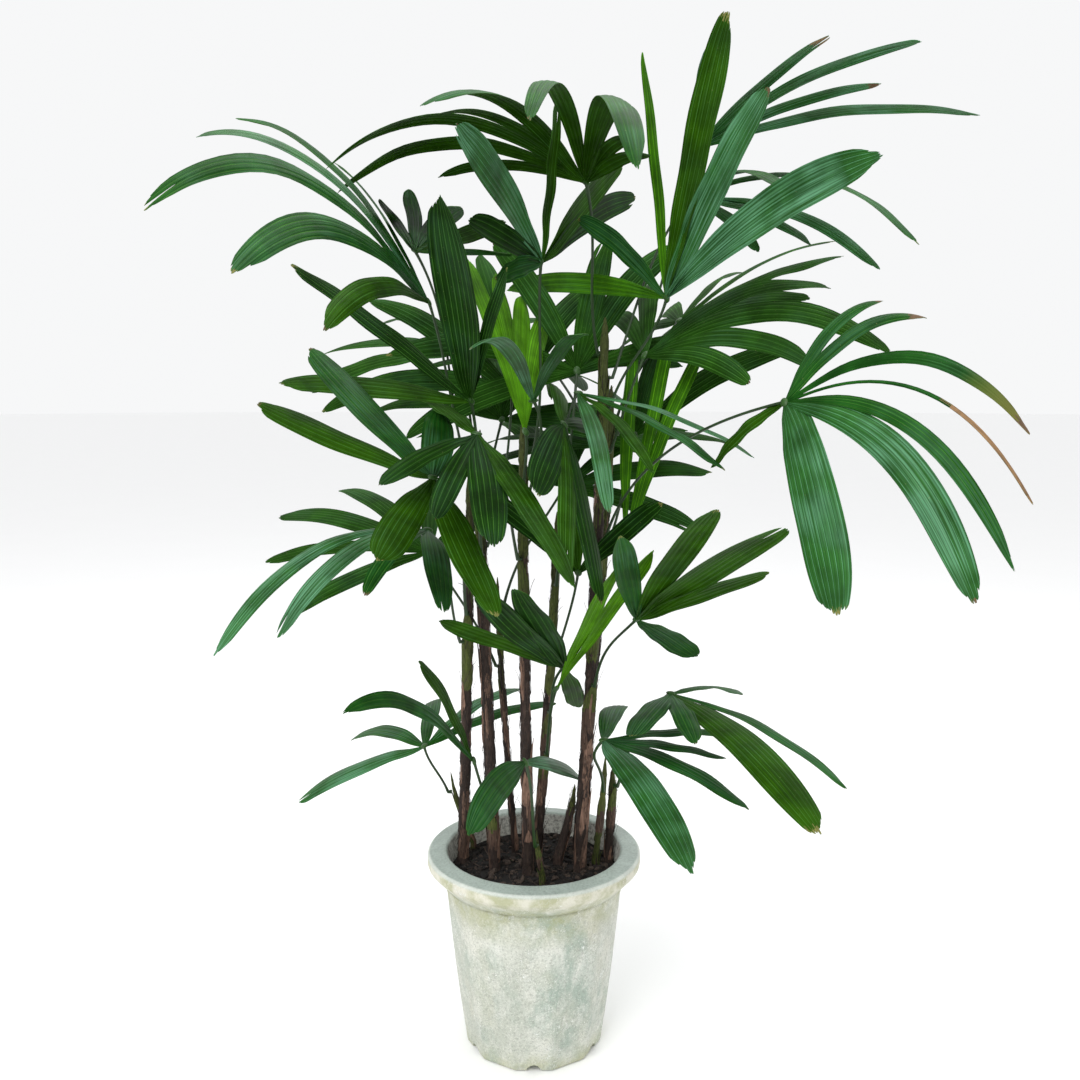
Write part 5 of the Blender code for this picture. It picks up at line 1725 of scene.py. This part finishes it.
class PALM_OT_canes(Step, bpy.types.Operator):
    """Build the canes with their rings and worn bark"""

    bl_idname = "palm.canes"
    bl_label = "Canes"

    def execute(self, context):
        look = context.scene.palm_canes
        skin = Bundle()
        for cane in CANES:
            cane_skin(skin, cane, look)
        names = [cane.name for cane in CANES]
        show_bundle("Canes_Bark", skin, cane_looks(look), names, 60.0)
        return {"FINISHED"}


class PALM_OT_sheaths(Step, bpy.types.Operator):
    """Build the dried sheaths, the green sheaths and the fibres round the canes"""

    bl_idname = "palm.sheaths"
    bl_label = "Sheaths and fibres"

    def execute(self, context):
        look = context.scene.palm_canes
        flaps = Bundle()
        old_sheaths(flaps)
        live_sheaths(flaps)
        looks = [
            bark_finish("Flap_Tan", look.old_sheath, shaded(look.old_sheath, 0.30), 0.9),
            bark_finish("Flap_Brown", shaded(look.old_sheath, 0.42), look.bark, 0.8),
            bark_finish("Flap_Green", look.green_sheath, shaded(look.bark, 1.8), 0.30),
        ]
        show_bundle("Cane_Sheaths", flaps, looks)
        fibres = Bundle()
        wind_fibres(fibres, look.fibres)
        looks = [fibre_finish("Fibre_Black", shaded(look.bark, 0.45))]
        show_bundle("Cane_Fibres", fibres, looks)
        return {"FINISHED"}


class PALM_OT_stalks(Step, bpy.types.Operator):
    """Build the stalks of all fronds and the knobs at their ends"""

    bl_idname = "palm.stalks"
    bl_label = "Stalks"

    def execute(self, context):
        look = context.scene.palm_leaves
        stalks = Bundle()
        for frond in FRONDS + back_fronds():
            stalk_skin(stalks, frond)
        looks = [
            stalk_finish("Stalk_Green", shaded(look.under, 0.62)),
            stalk_finish("Stalk_Knob", shaded(look.under, 1.3)),
        ]
        show_bundle("Frond_Stalks", stalks, looks)
        return {"FINISHED"}


class PALM_OT_leaves(Step, bpy.types.Operator):
    """Build the leaflets of every frond, joined by the side of the palm that they are on"""

    bl_idname = "palm.leaves"
    bl_label = "Leaves"

    def execute(self, context):
        look = context.scene.palm_leaves
        looks = leaf_looks(look)
        by_name = {frond.name: frond for frond in FRONDS + back_fronds()}
        for piece, names in LEAF_PIECES.items():
            blades = Bundle()
            for name in names:
                draw = random.Random(f"{LEAF_SEED} {name}")
                for index, leaflet in enumerate(by_name[name].leaflets):
                    if leaflet is not None:
                        blade_skin(blades, by_name[name], index, look, draw)
            show_bundle(piece, blades, looks, names, 50.0)
        return {"FINISHED"}


SETTINGS = {
    "palm_pot": PotSettings,
    "palm_soil": SoilSettings,
    "palm_canes": CaneSettings,
    "palm_leaves": LeafSettings,
    "palm_stage": StageSettings,
}
OPERATORS = (
    PALM_OT_stage, PALM_OT_pot, PALM_OT_soil, PALM_OT_canes, PALM_OT_sheaths, PALM_OT_stalks,
    PALM_OT_leaves,
)


class VIEW3D_PT_palm(bpy.types.Panel):
    """The palm's pieces and their settings"""

    bl_label = "Lady Palm"
    bl_space_type = "VIEW_3D"
    bl_region_type = "UI"
    bl_category = "Palm"

    def draw(self, context):
        for operator in OPERATORS:
            self.layout.operator(operator.bl_idname)
        for name, settings in SETTINGS.items():
            box = self.layout.box()
            for key in settings.__annotations__:
                box.prop(getattr(context.scene, name), key)


def register():
    """Register the settings, the operators and the panel."""
    for name, settings in SETTINGS.items():
        bpy.utils.register_class(settings)
        setattr(bpy.types.Scene, name, PointerProperty(type=settings))
    for kind in (*OPERATORS, VIEW3D_PT_palm):
        bpy.utils.register_class(kind)


def unregister():
    """Take away what register put in, in the opposite order."""
    for kind in (VIEW3D_PT_palm, *reversed(OPERATORS)):
        bpy.utils.unregister_class(kind)
    for name, settings in reversed(SETTINGS.items()):
        delattr(bpy.types.Scene, name)
        bpy.utils.unregister_class(settings)


def main():
    """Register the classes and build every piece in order."""
    register()
    bpy.ops.palm.stage()
    bpy.ops.palm.pot()
    bpy.ops.palm.soil()
    bpy.ops.palm.canes()
    bpy.ops.palm.sheaths()
    bpy.ops.palm.stalks()
    bpy.ops.palm.leaves()


if __name__ == "__main__":
    main()
